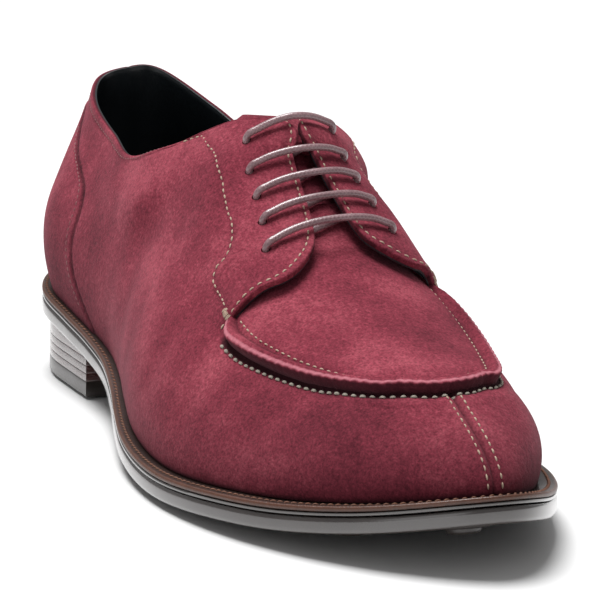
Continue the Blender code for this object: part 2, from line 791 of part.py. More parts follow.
def lace_route():
    """From under the top lateral hole down the bars, then hidden back up to the top medial hole."""
    route = bar(HOLE_ROWS[0])
    for above, below in zip(HOLE_ROWS, HOLE_ROWS[1:]):
        route += slant(above, below) + bar(below)
    return route + [place(turned, share, 1, LACE_UNDER) for turned, share in RETURN_ROWS]


def lace():
    """The lace as one round cord."""
    curve = bpy.data.curves.new("laces", "CURVE")
    curve.dimensions = "3D"
    curve.bevel_depth = METRE * LACE / 2
    curve.bevel_resolution = 1
    curve.use_fill_caps = True
    line = cord_line(lace_route(), LACE_STEP)
    spline = curve.splines.new("POLY")
    spline.points.add(len(line) - 1)
    for point, middle in zip(spline.points, line):
        point.co = (*(METRE * middle), 1.0)
    dress(add_object("laces", curve), "waxed cord")


def main():
    """Clear the start-up scene and build every piece."""
    for thing in list(bpy.data.objects):
        bpy.data.objects.remove(thing)
    outsole()
    midsole_welt()
    insole()
    heel()
    upper()
    tongue()
    lace()


if __name__ == "__main__":
    main()
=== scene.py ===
"""Looks of a right split toe derby: suede upper with a raised apron, waxed lace, welt, studded sole and heel.

Lengths inside the classes are in millimetres from the heel's back edge, as on the last, and every finished
mesh is placed in the frame in metres. A place on the upper is a turn (0 at the heel's back, 1 at the toe), a
share of the rib that climbs from the welt (0) to the rib's head (1), a side, and a lift off the bare last.
"""
import logging
import math
from collections.abc import Callable, Iterable, Sequence
from dataclasses import dataclass, field
from enum import Enum

import bmesh
import bpy
import numpy as np
from mathutils import Matrix, Vector


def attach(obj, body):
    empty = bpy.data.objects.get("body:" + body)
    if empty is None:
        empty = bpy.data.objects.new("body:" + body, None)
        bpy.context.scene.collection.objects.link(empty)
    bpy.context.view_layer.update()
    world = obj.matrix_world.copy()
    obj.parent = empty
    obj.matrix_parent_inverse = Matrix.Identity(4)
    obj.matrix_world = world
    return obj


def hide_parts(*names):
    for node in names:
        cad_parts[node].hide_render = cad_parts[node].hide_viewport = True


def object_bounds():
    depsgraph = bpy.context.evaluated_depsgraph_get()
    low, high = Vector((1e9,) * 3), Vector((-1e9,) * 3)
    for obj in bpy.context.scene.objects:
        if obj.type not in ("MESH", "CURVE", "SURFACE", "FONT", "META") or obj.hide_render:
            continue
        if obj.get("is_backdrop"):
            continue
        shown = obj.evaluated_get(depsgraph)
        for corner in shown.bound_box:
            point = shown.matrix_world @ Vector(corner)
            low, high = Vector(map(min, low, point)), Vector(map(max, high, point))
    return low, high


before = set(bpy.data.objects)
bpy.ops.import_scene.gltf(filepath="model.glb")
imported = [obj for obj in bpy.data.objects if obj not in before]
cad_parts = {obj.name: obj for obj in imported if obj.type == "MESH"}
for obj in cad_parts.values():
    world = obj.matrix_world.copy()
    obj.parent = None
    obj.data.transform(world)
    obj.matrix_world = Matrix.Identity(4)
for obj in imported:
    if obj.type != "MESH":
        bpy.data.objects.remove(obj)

log = logging.getLogger("derby")

METRE = 0.001
WELD_DIGITS = 2
BODY = "root"

Array = np.ndarray
Material = bpy.types.Material
Node = bpy.types.Node
Piece = bpy.types.Object
Socket = bpy.types.NodeSocket
Tree = bpy.types.NodeTree
Colour = tuple[float, float, float]
Table = tuple[tuple[float, ...], ...]
Places = Sequence[tuple[float, float]]


class Side(Enum):
    """The two sides of the shoe, signed along +Y."""

    LATERAL = -1
    MEDIAL = 1


class Slot(Enum):
    """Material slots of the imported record."""

    SUEDE = "suede"
    LINING = "lining"
    WELT = "welt"
    OUTSOLE = "outsole"
    HEEL = "heel_leather"
    TOP_PIECE = "top_piece"
    NAIL = "nail"
    LACE = "lace"


def column(rows: Table, names: Sequence[str], name: str) -> Array:
    """One named column of a table."""
    return np.array([row[names.index(name)] for row in rows], float)


def blend(knots: Array, values: Array, at: Array) -> Array:
    """Smooth curve through the values at the knots.

    Args:
        knots: Rising places of the values.
        values: One value for each knot.
        at: Places to read.

    Returns:
        The curve's values at the given places.
    """
    knots = np.asarray(knots, float)
    values = np.asarray(values, float)
    at = np.clip(np.asarray(at, float), knots[0], knots[-1])
    gaps = np.diff(knots)
    slopes = np.diff(values) / gaps
    tangents = np.empty_like(values)
    tangents[1:-1] = (slopes[:-1] * gaps[1:] + slopes[1:] * gaps[:-1]) / (gaps[:-1] + gaps[1:])
    tangents[0] = 1.5 * slopes[0] - 0.5 * tangents[1]
    tangents[-1] = 1.5 * slopes[-1] - 0.5 * tangents[-2]
    i = np.clip(np.searchsorted(knots, at, side="right") - 1, 0, len(knots) - 2)
    u = (at - knots[i]) / gaps[i]
    start = (1 + 2 * u) * (1 - u) ** 2 * values[i] + u * (1 - u) ** 2 * gaps[i] * tangents[i]
    end = u * u * (3 - 2 * u) * values[i + 1] + u * u * (u - 1) * gaps[i] * tangents[i + 1]
    return start + end


def ease(value: Array) -> Array:
    """Smooth step from 0 to 1."""
    value = np.clip(value, 0, 1)
    return value * value * (3 - 2 * value)


def ridge(distance: Array, width: float) -> Array:
    """A bell of height 1 and the given half width about distance 0."""
    return np.exp(-(distance / width) ** 2)


def unit(vectors: Array) -> Array:
    """Vectors at length 1."""
    return vectors / np.maximum(np.linalg.norm(vectors, axis=-1, keepdims=True), 1e-9)


def runs(points: Array) -> Array:
    """Distance along a line of points at each of them."""
    return np.concatenate([[0.0], np.cumsum(np.linalg.norm(np.diff(points, axis=0), axis=1))])


def smooth_line(points: Array, step: float) -> Array:
    """Points at even steps on a smooth curve through the given ones."""
    along = runs(points)
    at = np.linspace(0, along[-1], max(int(along[-1] / step) + 1, 3))
    return np.stack([blend(along, points[:, k], at) for k in range(3)], 1)


def nearest(points: Array, line: Array) -> Array:
    """Distance of each point to the nearest point of a line."""
    found = np.empty(len(points))
    for start in range(0, len(points), 8192):
        block = points[start:start + 8192]
        found[start:start + 8192] = np.sqrt(((block[:, None] - line[None]) ** 2).sum(-1).min(1))
    return found


@dataclass
class Last:
    """The form that the upper and the sole are made on, the same as in the construction."""

    length: float = 303.0
    width: float = 107.0
    height: float = 96.0
    heel_rise: float = 19.5
    stud_drop: float = 2.0
    outsole: float = 5.0
    midsole: float = 3.2
    gap: float = 0.3
    welt_heel: float = 3.5
    welt_toe: float = 7.0
    welt_waist: float = 0.3
    waist: tuple[float, float] = (0.40, 0.16)
    welt_widens: float = 0.35
    normal_blend: float = 0.1
    sole_columns: tuple[str, ...] = ("along", "lateral", "medial")
    sole_rows: Table = (
        (0.000, 0.000, 0.000),
        (0.033, 0.238, 0.220),
        (0.115, 0.360, 0.326),
        (0.200, 0.370, 0.314),
        (0.265, 0.368, 0.290),
        (0.330, 0.378, 0.274),
        (0.396, 0.416, 0.277),
        (0.462, 0.468, 0.307),
        (0.528, 0.515, 0.360),
        (0.594, 0.542, 0.416),
        (0.660, 0.547, 0.460),
        (0.726, 0.523, 0.477),
        (0.792, 0.469, 0.455),
        (0.858, 0.382, 0.396),
        (0.924, 0.252, 0.302),
        (0.974, 0.104, 0.200),
        (1.000, -0.062, 0.062),
    )
    rise_columns: tuple[str, ...] = ("along", "rise")
    rise_rows: Table = (
        (0.000, 1.080),
        (0.090, 0.965),
        (0.200, 0.790),
        (0.300, 0.575),
        (0.430, 0.245),
        (0.545, 0.058),
        (0.660, 0.000),
        (0.760, 0.082),
        (0.860, 0.222),
        (0.940, 0.450),
        (1.000, 0.720),
    )
    rib_columns: tuple[str, ...] = (
        "foot", "x", "lateral_y", "medial_y", "lateral_z", "medial_z",
        "foot_reach", "lateral_lean", "medial_lean", "head_reach", "lateral_fall", "medial_fall",
    )
    rib_rows: Table = (
        (0.000, 0.022, 0.000, 0.000, 1.000, 1.000, 0.31, 16, 16, 0.29, 77, 77),
        (0.030, 0.031, -0.112, 0.114, 0.968, 0.985, 0.32, 17, 15, 0.27, 77, 79),
        (0.100, 0.098, -0.188, 0.216, 0.922, 0.890, 0.31, 18, 14, 0.23, 77, 80),
        (0.200, 0.192, -0.218, 0.266, 0.868, 0.815, 0.26, 15, 14, 0.19, 74, 76),
        (0.280, 0.280, -0.240, 0.280, 0.842, 0.808, 0.22, 13, 20, 0.17, 69, 68),
        (0.360, 0.362, -0.190, 0.256, 0.912, 0.885, 0.22, 14, 26, 0.24, 60, 56),
        (0.420, 0.434, -0.036, 0.162, 1.005, 0.985, 0.22, 18, 28, 0.32, 34, 27),
        (0.460, 0.480, 0.048, 0.048, 1.000, 1.000, 0.22, 20, 28, 0.34, 12, 6),
        (0.520, 0.502, 0.045, 0.045, 0.932, 0.932, 0.22, 22, 25, 0.35, 10, 3),
        (0.600, 0.553, 0.046, 0.046, 0.820, 0.820, 0.21, 24, 24, 0.36, 6, -3),
        (0.700, 0.638, 0.045, 0.045, 0.671, 0.671, 0.18, 25, 21, 0.355, 3, 1),
        (0.800, 0.730, 0.048, 0.048, 0.566, 0.566, 0.16, 20, 18, 0.345, 4, 5),
        (0.900, 0.792, 0.054, 0.054, 0.527, 0.527, 0.17, 14, 15, 0.345, 9, 11),
        (0.970, 0.792, 0.054, 0.054, 0.527, 0.527, 0.15, 9, 11, 0.32, 12, 15),
        (1.000, 0.792, 0.054, 0.054, 0.527, 0.527, 0.12, 7, 7, 0.31, 12, 12),
    )

    def origin(self) -> Array:
        """Plan centre of the sole's box, on the floor."""
        t = np.linspace(0, 1, 201)
        across = np.concatenate([self.sole_edge(t, side)[:, 1] for side in Side])
        return np.array([self.length / 2, (across.min() + across.max()) / 2, 0.0])

    def turn(self, share: float | Array) -> Array:
        """Share of the length as a turn, close-set at both ends."""
        return np.arccos(1 - 2 * np.clip(share, 0, 1)) / math.pi

    def length_at(self, t: Array) -> Array:
        """Distance from the heel's back for a turn."""
        return self.length * (1 - np.cos(math.pi * np.asarray(t, float))) / 2

    def sole_edge(self, t: Array, side: Side) -> Array:
        """Plan points of the sole's edge."""
        along, lateral, medial = (column(self.sole_rows, self.sole_columns, name)
                                  for name in self.sole_columns)
        knots = self.turn(along)
        middle = blend(knots, (medial - lateral) / 2, t)
        half = blend(knots, (medial + lateral) / 2, t)
        return np.stack([self.length_at(t), (middle + side.value * half) * self.width], -1)

    def sole_outward(self, t: Array, side: Side) -> Array:
        """Unit plan normals of the sole's edge, away from the shoe."""
        step = 1e-3
        t = np.asarray(t, float)
        after, before = (self.sole_edge(np.clip(t + move, 0, 1), side) for move in (step, -step))
        run = unit(after - before)
        away = np.stack([-side.value * run[..., 1], side.value * run[..., 0]], -1)
        away[t <= 0] = (-1.0, 0.0)
        away[t >= 1] = (1.0, 0.0)
        return away

    def sole_rise(self, x: Array) -> Array:
        """Height of the outsole's underside above the floor."""
        along, rise = (column(self.rise_rows, self.rise_columns, name) for name in self.rise_columns)
        return self.stud_drop + blend(along * self.length, rise, x) * self.heel_rise

    def seat(self, x: Array) -> Array:
        """Height of the midsole's top."""
        return self.sole_rise(x) + self.outsole + self.midsole

    def welt_show(self, t: Array) -> Array:
        """Width of the welt seen beyond the upper."""
        t = np.asarray(t, float)
        waist = ridge(t - self.waist[0], self.waist[1])
        forepart = np.clip((t - self.welt_widens) / (1 - self.welt_widens), 0, 1)
        return self.welt_heel + (self.welt_toe - self.welt_heel) * forepart - self.welt_waist * waist

    def feather_line(self, t: Array, side: Side) -> Array:
        """Plan points where the upper's outer face meets the welt."""
        return self.sole_edge(t, side) - self.sole_outward(t, side) * self.welt_show(t)[..., None]

    def skin(self, t: Array, s: Array, side: Side) -> Array:
        """Points of the upper's bare form.

        Args:
            t: Turns from the heel (0) to the toe (1).
            s: Shares of the rib from the welt (0) to its head (1).
            side: The side of the shoe.

        Returns:
            Points in millimetres, one for each pair of turn and share.
        """
        t = np.asarray(t, float)
        knots = self.turn(column(self.rib_rows, self.rib_columns, "foot"))
        side_name = side.name.lower() + "_"

        def read(name: str) -> Array:
            """A rib column at the turns."""
            return blend(knots, column(self.rib_rows, self.rib_columns, name), t)

        plan = self.feather_line(t, side)
        foot = np.concatenate([plan, self.seat(plan[..., :1]) + self.gap], -1)
        head = np.stack([read("x") * self.length, read(side_name + "y") * self.width,
                         read(side_name + "z") * self.height], -1)
        outward = np.concatenate([self.sole_outward(t, side), np.zeros(np.shape(t) + (1,))], -1)
        up = np.array([0.0, 0.0, 1.0])
        lean = np.radians(read(side_name + "lean"))[..., None]
        fall = np.radians(read(side_name + "fall"))[..., None]
        low_reach = (read("foot_reach") * self.height)[..., None]
        high_reach = (read("head_reach") * self.height)[..., None]
        low = foot + low_reach * (np.sin(lean) * outward + np.cos(lean) * up)
        high = head + high_reach * (np.cos(fall) * outward - np.sin(fall) * up)
        s = np.asarray(s, float)[..., None]
        return (1 - s) ** 3 * foot + 3 * (1 - s) ** 2 * s * low + 3 * (1 - s) * s * s * high + s ** 3 * head

    def side_normal(self, t: Array, s: Array, side: Side) -> Array:
        """Unit normals of one side of the bare form."""
        step = 0.004
        s = np.minimum(s, 1 - 2 * step)
        along = self.skin(np.clip(t + step, 0, 1), s, side) - self.skin(np.clip(t - step, 0, 1), s, side)
        climb = self.skin(t, s + step, side) - self.skin(t, s - step, side)
        return unit(side.value * np.cross(climb, along))

    def normal(self, t: Array, s: Array, side: Side) -> Array:
        """Unit normals of the bare form, shared by both sides at the rib's head."""
        other = Side(-side.value)
        weight = (0.5 + 0.5 * np.minimum((1 - np.asarray(s, float)) / self.normal_blend, 1))[..., None]
        return unit(weight * self.side_normal(t, s, side) + (1 - weight) * self.side_normal(t, s, other))

    def place(self, t: float, s: float, side: Side, lift: float) -> Array:
        """A point off the bare form."""
        t, s = np.float64(t), np.float64(s)
        return self.skin(t, s, side) + lift * self.normal(t, s, side)

    def line(self, places: Places, side: Side, step: float = 1.0, lift: float = 0.0) -> Array:
        """A smooth line over the form through places given as turn and share."""
        return smooth_line(np.array([self.place(t, s, side, lift) for t, s in places]), step)


def corners_of(index: Array) -> tuple[Array, ...]:
    """The four corner numbers of each quad of a grid, in order round it."""
    return index[:-1, :-1], index[1:, :-1], index[1:, 1:], index[:-1, 1:]


def side_to_side(halves: Sequence[Array]) -> Array:
    """The lateral half of a grid and the medial one, joined over the ridge."""
    return np.concatenate([halves[0], halves[1][:, -2::-1]], 1)


@dataclass
class MeshParts:
    """Grids of points gathered into one mesh, with marks on the points and a material number on the faces."""

    points: list[Array] = field(default_factory=list)
    faces: list[Array] = field(default_factory=list)
    slots: list[Array] = field(default_factory=list)
    marks: dict[str, list[Array]] = field(default_factory=dict)
    count: int = 0

    def add_grid(self, grid: Array, ring: bool = False, slot: int = 0,
                 marks: dict[str, Array] | None = None) -> None:
        """Add a grid of points as quads.

        Args:
            grid: Points in rows and columns.
            ring: Whether the last row joins the first.
            slot: Number of the material.
            marks: Values for each point of the grid, under the names of mesh attributes.
        """
        rows, columns = grid.shape[:2]
        index = np.arange(rows * columns).reshape(rows, columns) + self.count
        if ring:
            index = np.concatenate([index, index[:1]])
        quads = np.stack(corners_of(index), -1).reshape(-1, 4)
        self.points.append(grid.reshape(-1, 3))
        self.faces.append(quads)
        self.slots.append(np.full(len(quads), slot))
        for name, values in (marks or {}).items():
            self.marks.setdefault(name, []).append(np.broadcast_to(values, (rows, columns)).ravel())
        self.count += rows * columns

    def build(self, name: str, origin: Array, materials: Sequence[Material],
              sharp: float = 50.0) -> Piece:
        """One closed object of the grids, welded along their shared edges.

        Args:
            name: Name of the piece.
            origin: The frame's origin in millimetres on the last.
            materials: Materials in the order of the face numbers.
            sharp: Angle in degrees beyond which an edge is shaded sharp.

        Returns:
            The object, at the origin of the frame.
        """
        points = np.concatenate(self.points)
        rounded = np.round(points, WELD_DIGITS)
        _, first, index = np.unique(rounded, axis=0, return_index=True, return_inverse=True)
        index = index.ravel()
        quads = index[np.concatenate(self.faces)]
        slots = np.concatenate(self.slots)
        faces = []
        numbers = []
        for quad, slot in zip(quads.tolist(), slots.tolist()):
            corners = list(dict.fromkeys(quad))
            if len(corners) > 2:
                faces.append(corners)
                numbers.append(slot)
        mesh = bpy.data.meshes.new(name)
        mesh.from_pydata(((points[first] - origin) * METRE).tolist(), [], faces)
        for mark, values in self.marks.items():
            layer = mesh.attributes.new(mark, "FLOAT", "POINT")
            layer.data.foreach_set("value", np.concatenate(values)[first].astype(np.float32))
        for material in materials:
            mesh.materials.append(material)
        mesh.polygons.foreach_set("material_index", numbers)
        mesh.update()
        return finished(name, mesh, sharp=sharp)


def link(piece: Piece) -> None:
    """Put an object in the scene."""
    bpy.context.scene.collection.objects.link(piece)


def applied(piece: Piece) -> bpy.types.Mesh:
    """The mesh that an object's modifiers make of it; the object is left with none."""
    graph = bpy.context.evaluated_depsgraph_get()
    made = bpy.data.meshes.new_from_object(piece.evaluated_get(graph), depsgraph=graph)
    piece.modifiers.clear()
    return made


def finished(name: str, mesh: bpy.types.Mesh, recalculate: bool = True, sharp: float = 50.0) -> Piece:
    """Link a mesh as a smooth-shaded object whose faces point outwards."""
    if recalculate:
        work = bmesh.new()
        work.from_mesh(mesh)
        bmesh.ops.recalc_face_normals(work, faces=work.faces)
        work.to_mesh(mesh)
        work.free()
    mesh.shade_smooth()
    mesh.set_sharp_from_angle(angle=math.radians(sharp))
    thing = bpy.data.objects.new(name, mesh)
    link(thing)
    return thing


def point_normals(grid: Array, ring: bool) -> Array:
    """Unit normals of a grid of points, shared where its points coincide."""
    rows, columns = grid.shape[:2]
    index = np.arange(rows * columns).reshape(rows, columns)
    if ring:
        index = np.concatenate([index, index[:1]])
    flat = grid.reshape(-1, 3)
    a, b, c, d = (corner.ravel() for corner in corners_of(index))
    areas = np.cross(flat[c] - flat[a], flat[d] - flat[b])
    same = np.unique(np.round(flat, WELD_DIGITS), axis=0, return_inverse=True)[1].ravel()
    totals = np.zeros((same.max() + 1, 3))
    for corner in (a, b, c, d):
        np.add.at(totals, same[corner], areas)
    normals = unit(totals)[same]
    if np.sum(normals * (flat - flat.mean(axis=0))) < 0:
        normals = -normals
    return normals.reshape(rows, columns, 3)


def shell(name: str, last: Last, grid: Array, over: Array, under: Array,
          materials: Sequence[Material], marks: dict[str, Array] | None = None,
          ring: bool = False, sharp: float = 50.0) -> Piece:
    """A closed skin about a grid of surface points.

    Args:
        name: Name of the piece.
        last: The last that places the points.
        grid: Points of the bare form.
        over: Lift of the outer face at each point.
        under: Lift of the inner face at each point.
        materials: The materials of the outer face, and of the inner face if there is a second.
        marks: Values at the points, for the material.
        ring: Whether the grid's last row joins its first.
        sharp: Angle in degrees beyond which an edge is shaded sharp.

    Returns:
        The object.
    """
    normals = point_normals(grid, ring)
    top = grid + normals * np.broadcast_to(over, grid.shape[:2])[..., None]
    bottom = grid + normals * np.broadcast_to(under, grid.shape[:2])[..., None]
    marks = marks or {}
    parts = MeshParts()
    parts.add_grid(top, ring, 0, marks)
    parts.add_grid(bottom, ring, len(materials) - 1, marks)
    borders = [(slice(None), 0), (slice(None), -1)] + ([] if ring else [(0, slice(None)), (-1, slice(None))])
    for border in borders:
        wall = np.stack([top[border], bottom[border]], 1)
        values = {mark: np.stack([value[border]] * 2, 1) for mark, value in marks.items()}
        parts.add_grid(wall, ring and border[0] == slice(None), 0, values)
    return parts.build(name, last.origin(), materials, sharp)


class Board:
    """Adds nodes to a node tree and wires them by the names of their sockets."""

    def __init__(self, tree: Tree) -> None:
        """Start on a tree."""
        self.tree = tree

    def add(self, kind: str, inputs: dict | None = None, **settings: object) -> Node:
        """Add a node.

        Args:
            kind: The node's type.
            inputs: Values or output sockets for its inputs, by name or number.
            **settings: The node's own settings.

        Returns:
            The node.
        """
        node = self.tree.nodes.new(kind)
        for name, value in settings.items():
            setattr(node, name, value)
        self.fill(node, inputs or {})
        return node

    def fill(self, node: Node, inputs: dict) -> None:
        """Give several inputs of a node their values or wires."""
        for name, value in inputs.items():
            self.feed(node.inputs[name], value)

    def feed(self, socket: Socket, value: object) -> None:
        """Give an input a value or wire an output to it."""
        if isinstance(value, Socket):
            self.tree.links.new(value, socket)
        else:
            socket.default_value = value

    def noise(self, vector: Socket, scale: object, detail: float = 3.0,
              roughness: float = 0.5) -> Socket:
        """Noise from 0 to 1."""
        node = self.add("ShaderNodeTexNoise", {"Vector": vector, "Scale": scale, "Detail": detail,
                                               "Roughness": roughness})
        return node.outputs[0]

    def maths(self, operation: str, first: object, second: object = 0.0) -> Socket:
        """One sum on two numbers."""
        return self.add("ShaderNodeMath", {0: first, 1: second}, operation=operation).outputs[0]

    def remap(self, value: object, low: float, high: float, to_low: float = 0.0,
              to_high: float = 1.0) -> Socket:
        """A value carried from one range to another, held at the ends."""
        node = self.add("ShaderNodeMapRange", {0: value, 1: low, 2: high, 3: to_low, 4: to_high})
        return node.outputs[0]

    def about(self, factor: object, value: float, share: float) -> Socket:
        """A value that varies by a share of itself either way."""
        return self.remap(factor, 0.0, 1.0, value * (1 - share), value * (1 + share))

    def mark(self, name: str) -> Socket:
        """A mark kept on the mesh's points."""
        return self.add("ShaderNodeAttribute", attribute_name=name).outputs["Fac"]

    def group(self, tree: Tree, inputs: dict) -> Socket:
        """The first output of a shader group, placed with its own values."""
        return self.add("ShaderNodeGroup", inputs, node_tree=tree).outputs[0]

    def mix(self, factor: object, first: object, second: object, kind: str = "MIX") -> Socket:
        """Two colours mixed."""
        node = self.add("ShaderNodeMix", {0: factor, 6: first, 7: second}, data_type="RGBA", blend_type=kind)
        return node.outputs[2]

    def bump(self, height: object, distance: float, strength: float = 1.0,
             normal: Socket | None = None) -> Socket:
        """A bumped normal, over another where one is given."""
        inputs = {"Height": height, "Distance": distance, "Strength": strength}
        if normal is not None:
            inputs["Normal"] = normal
        return self.add("ShaderNodeBump", inputs).outputs[0]


def rgba(colour: Colour) -> tuple[float, float, float, float]:
    """A colour with full alpha."""
    return (*colour, 1.0)


def new_group(name: str, kind: str, inputs: Iterable[tuple], outputs: Iterable[tuple[str, str]]) -> tuple:
    """A node group with named sockets.

    Args:
        name: The group's name.
        kind: The node tree's type.
        inputs: Name, socket type and value of each input.
        outputs: Name and socket type of each output.

    Returns:
        The tree, a board on it, its input node and its output node.
    """
    tree = bpy.data.node_groups.new(name, kind)
    for label, socket, value in inputs:
        made = tree.interface.new_socket(label, in_out="INPUT", socket_type=socket)
        if value is not None:
            made.default_value = value
    for label, socket in outputs:
        tree.interface.new_socket(label, in_out="OUTPUT", socket_type=socket)
    board = Board(tree)
    return tree, board, board.add("NodeGroupInput"), board.add("NodeGroupOutput")


class Effects:
    """Shader groups that several finishes share."""

    def __init__(self) -> None:
        """Build each group once."""
        self.mottle = self.make_mottle()
        self.grain = self.make_grain()
        self.pale_spots = self.make_pale_spots()

    @staticmethod
    def make_mottle() -> Tree:
        """Cloudy patches in two sizes, as brushed nap or dyed leather shows."""
        tree, board, source, sink = new_group(
            "mottle", "ShaderNodeTree",
            [("Vector", "NodeSocketVector", None), ("Patches", "NodeSocketFloat", 40.0),
             ("Flecks", "NodeSocketFloat", 260.0), ("Fleck share", "NodeSocketFloat", 0.4)],
            [("Factor", "NodeSocketFloat")])
        patches = board.noise(source.outputs["Vector"], source.outputs["Patches"], 4.0, 0.6)
        flecks = board.noise(source.outputs["Vector"], source.outputs["Flecks"], 4.0, 0.65)
        low = board.remap(patches, 0.3, 0.7)
        fine = board.remap(flecks, 0.25, 0.75)
        rest = board.maths("SUBTRACT", 1.0, source.outputs["Fleck share"])
        total = board.maths("ADD", board.maths("MULTIPLY", low, rest),
                            board.maths("MULTIPLY", fine, source.outputs["Fleck share"]))
        board.feed(sink.inputs["Factor"], total)
        return tree

    @staticmethod
    def make_grain() -> Tree:
        """Pebbled leather grain with fine pores."""
        tree, board, source, sink = new_group(
            "grain", "ShaderNodeTree",
            [("Vector", "NodeSocketVector", None), ("Pebbles", "NodeSocketFloat", 900.0),
             ("Pores", "NodeSocketFloat", 3000.0)],
            [("Height", "NodeSocketFloat")])
        cells = board.add("ShaderNodeTexVoronoi", {"Vector": source.outputs["Vector"],
                                                   "Scale": source.outputs["Pebbles"]}, feature="F1")
        pores = board.noise(source.outputs["Vector"], source.outputs["Pores"], 2.0)
        height = board.maths("ADD", board.maths("MULTIPLY", cells.outputs["Distance"], -0.7),
                             board.maths("MULTIPLY", pores, 0.5))
        board.feed(sink.inputs["Height"], height)
        return tree

    @staticmethod
    def make_pale_spots() -> Tree:
        """Pale spots that follow a mark on the piece, broken up by noise."""
        tree, board, source, sink = new_group(
            "pale_spots", "ShaderNodeTree",
            [("Vector", "NodeSocketVector", None), ("Mark", "NodeSocketFloat", 0.0),
             ("Scale", "NodeSocketFloat", 120.0), ("Spread", "NodeSocketFloat", 0.5)],
            [("Factor", "NodeSocketFloat")])
        spots = board.noise(source.outputs["Vector"], source.outputs["Scale"], 5.0, 0.7)
        raised = board.maths("ADD", source.outputs["Mark"], board.maths("SUBTRACT", spots, 0.5))
        masked = board.maths("MULTIPLY", board.remap(raised, 0.3, 0.9), source.outputs["Spread"])
        board.feed(sink.inputs["Factor"], masked)
        return tree


def new_material(name: str) -> tuple[Material, Board, Node, Socket]:
    """A material with its shader and the piece's own coordinates."""
    material = bpy.data.materials.new(name)
    material.use_nodes = True
    board = Board(material.node_tree)
    shader = material.node_tree.nodes["Principled BSDF"]
    place = board.add("ShaderNodeTexCoord").outputs["Object"]
    return material, board, shader, place


@dataclass(frozen=True)
class Cloud:
    """The mottle of a finish: scale of its patches, scale of its flecks, and the flecks' share."""

    patches: float
    flecks: float
    share: float

    def lay(self, board: Board, effects: Effects, place: Socket) -> Socket:
        """The mottle over a piece, from 0 to 1."""
        return board.group(effects.mottle, {"Vector": place, "Patches": self.patches, "Flecks": self.flecks,
                                            "Fleck share": self.share})


@dataclass(frozen=True)
class PaleSpots:
    """Pale spots of a finish where a piece is marked: their colour, scale and strength."""

    colour: Colour
    scale: float
    spread: float

    def lay(self, board: Board, effects: Effects, place: Socket,
            under: Socket) -> Socket:
        """The spots over another colour, where the piece is marked as pale."""
        spots = board.group(effects.pale_spots, {"Vector": place, "Mark": board.mark("pale_edge"), "Scale": self.scale,
                                           "Spread": self.spread})
        return board.mix(spots, under, rgba(self.colour))


@dataclass(frozen=True)
class Suede:
    """Brushed calf suede: mottled nap with a soft sheen, painted shade in its seams and a painted highlight
    along the apron lip's crest.
    """

    name: str = "burgundy_suede"
    dark: Colour = (0.086, 0.009, 0.018)
    middle: Colour = (0.188, 0.026, 0.043)
    pale: Colour = (0.335, 0.068, 0.093)
    # Colour of the painted shade in the seams, under the apron's lip and towards the welt.
    seam: Colour = (0.022, 0.004, 0.007)
    sheen: Colour = (1.0, 0.50, 0.58)
    cloud: Cloud = Cloud(34.0, 760.0, 0.45)
    # Painted highlight along the apron lip's crest.
    crest_highlight: PaleSpots = PaleSpots((0.520, 0.190, 0.230), 500.0, 0.75)
    nap: float = 1500.0

    def material(self, effects: Effects) -> Material:
        """The material of the suede."""
        material, board, shader, place = new_material(self.name)
        ramp = board.add("ShaderNodeValToRGB", {0: self.cloud.lay(board, effects, place)})
        for element, position, colour in zip(ramp.color_ramp.elements, (0.12, 0.92), (self.dark, self.pale)):
            element.position = position
            element.color = rgba(colour)
        ramp.color_ramp.elements.new(0.5).color = rgba(self.middle)
        fibres = board.noise(place, self.nap, 3.0, 0.7)
        spread = board.remap(fibres, 0.28, 0.72, 0.56, 1.5)
        grey = board.add("ShaderNodeCombineColor", {0: spread, 1: spread, 2: spread}).outputs[0]
        tone = board.mix(1.0, ramp.outputs[0], grey, "MULTIPLY")
        # Painted highlight where the piece is marked, along the apron lip's crest.
        highlighted_tone = self.crest_highlight.lay(board, effects, place, tone)
        clumps = board.noise(place, self.cloud.flecks, 3.0, 0.6)
        board.fill(shader, {
            # Painted shade: the colour darkens towards the seam colour where the piece is marked.
            "Base Color": board.mix(board.mark("painted_shade"), highlighted_tone, rgba(self.seam)),
            "Roughness": 0.92,
            "Specular IOR Level": 0.15,
            "Sheen Weight": 0.10,
            "Sheen Roughness": 0.38,
            "Sheen Tint": rgba(self.sheen),
            "Normal": board.bump(clumps, 0.0006, 0.35, board.bump(fibres, 0.00035, 0.55)),
        })
        return material


@dataclass(frozen=True)
class Leather:
    """Smooth or grained leather with a polish, and paler spots where a piece is marked if they are given."""

    name: str
    colour: Colour
    shade: Colour
    roughness: float = 0.45
    coat: float = 0.0
    pebbles: float = 900.0
    relief: float = 0.00012
    ior: float = 1.5
    streaks: tuple[float, float, float] = (1.0, 1.0, 1.0)
    pale_edge: PaleSpots | None = None
    cloud: Cloud = Cloud(90.0, 900.0, 0.5)
    pores: float = 3.4

    def material(self, effects: Effects) -> Material:
        """The material of the leather."""
        material, board, shader, place = new_material(self.name)
        stretched = board.add("ShaderNodeMapping", {"Vector": place, "Scale": self.streaks}).outputs[0]
        cloud = self.cloud.lay(board, effects, stretched)
        colour = board.mix(cloud, rgba(self.shade), rgba(self.colour))
        if self.pale_edge is not None:
            colour = self.pale_edge.lay(board, effects, place, colour)
        grain = board.group(effects.grain, {"Vector": stretched, "Pebbles": self.pebbles,
                                            "Pores": self.pebbles * self.pores})
        board.fill(shader, {
            "Base Color": colour,
            "Roughness": board.about(cloud, self.roughness, 0.15),
            "IOR": self.ior,
            "Coat Weight": self.coat,
            "Coat Roughness": 0.14,
            "Normal": board.bump(grain, self.relief),
        })
        return material


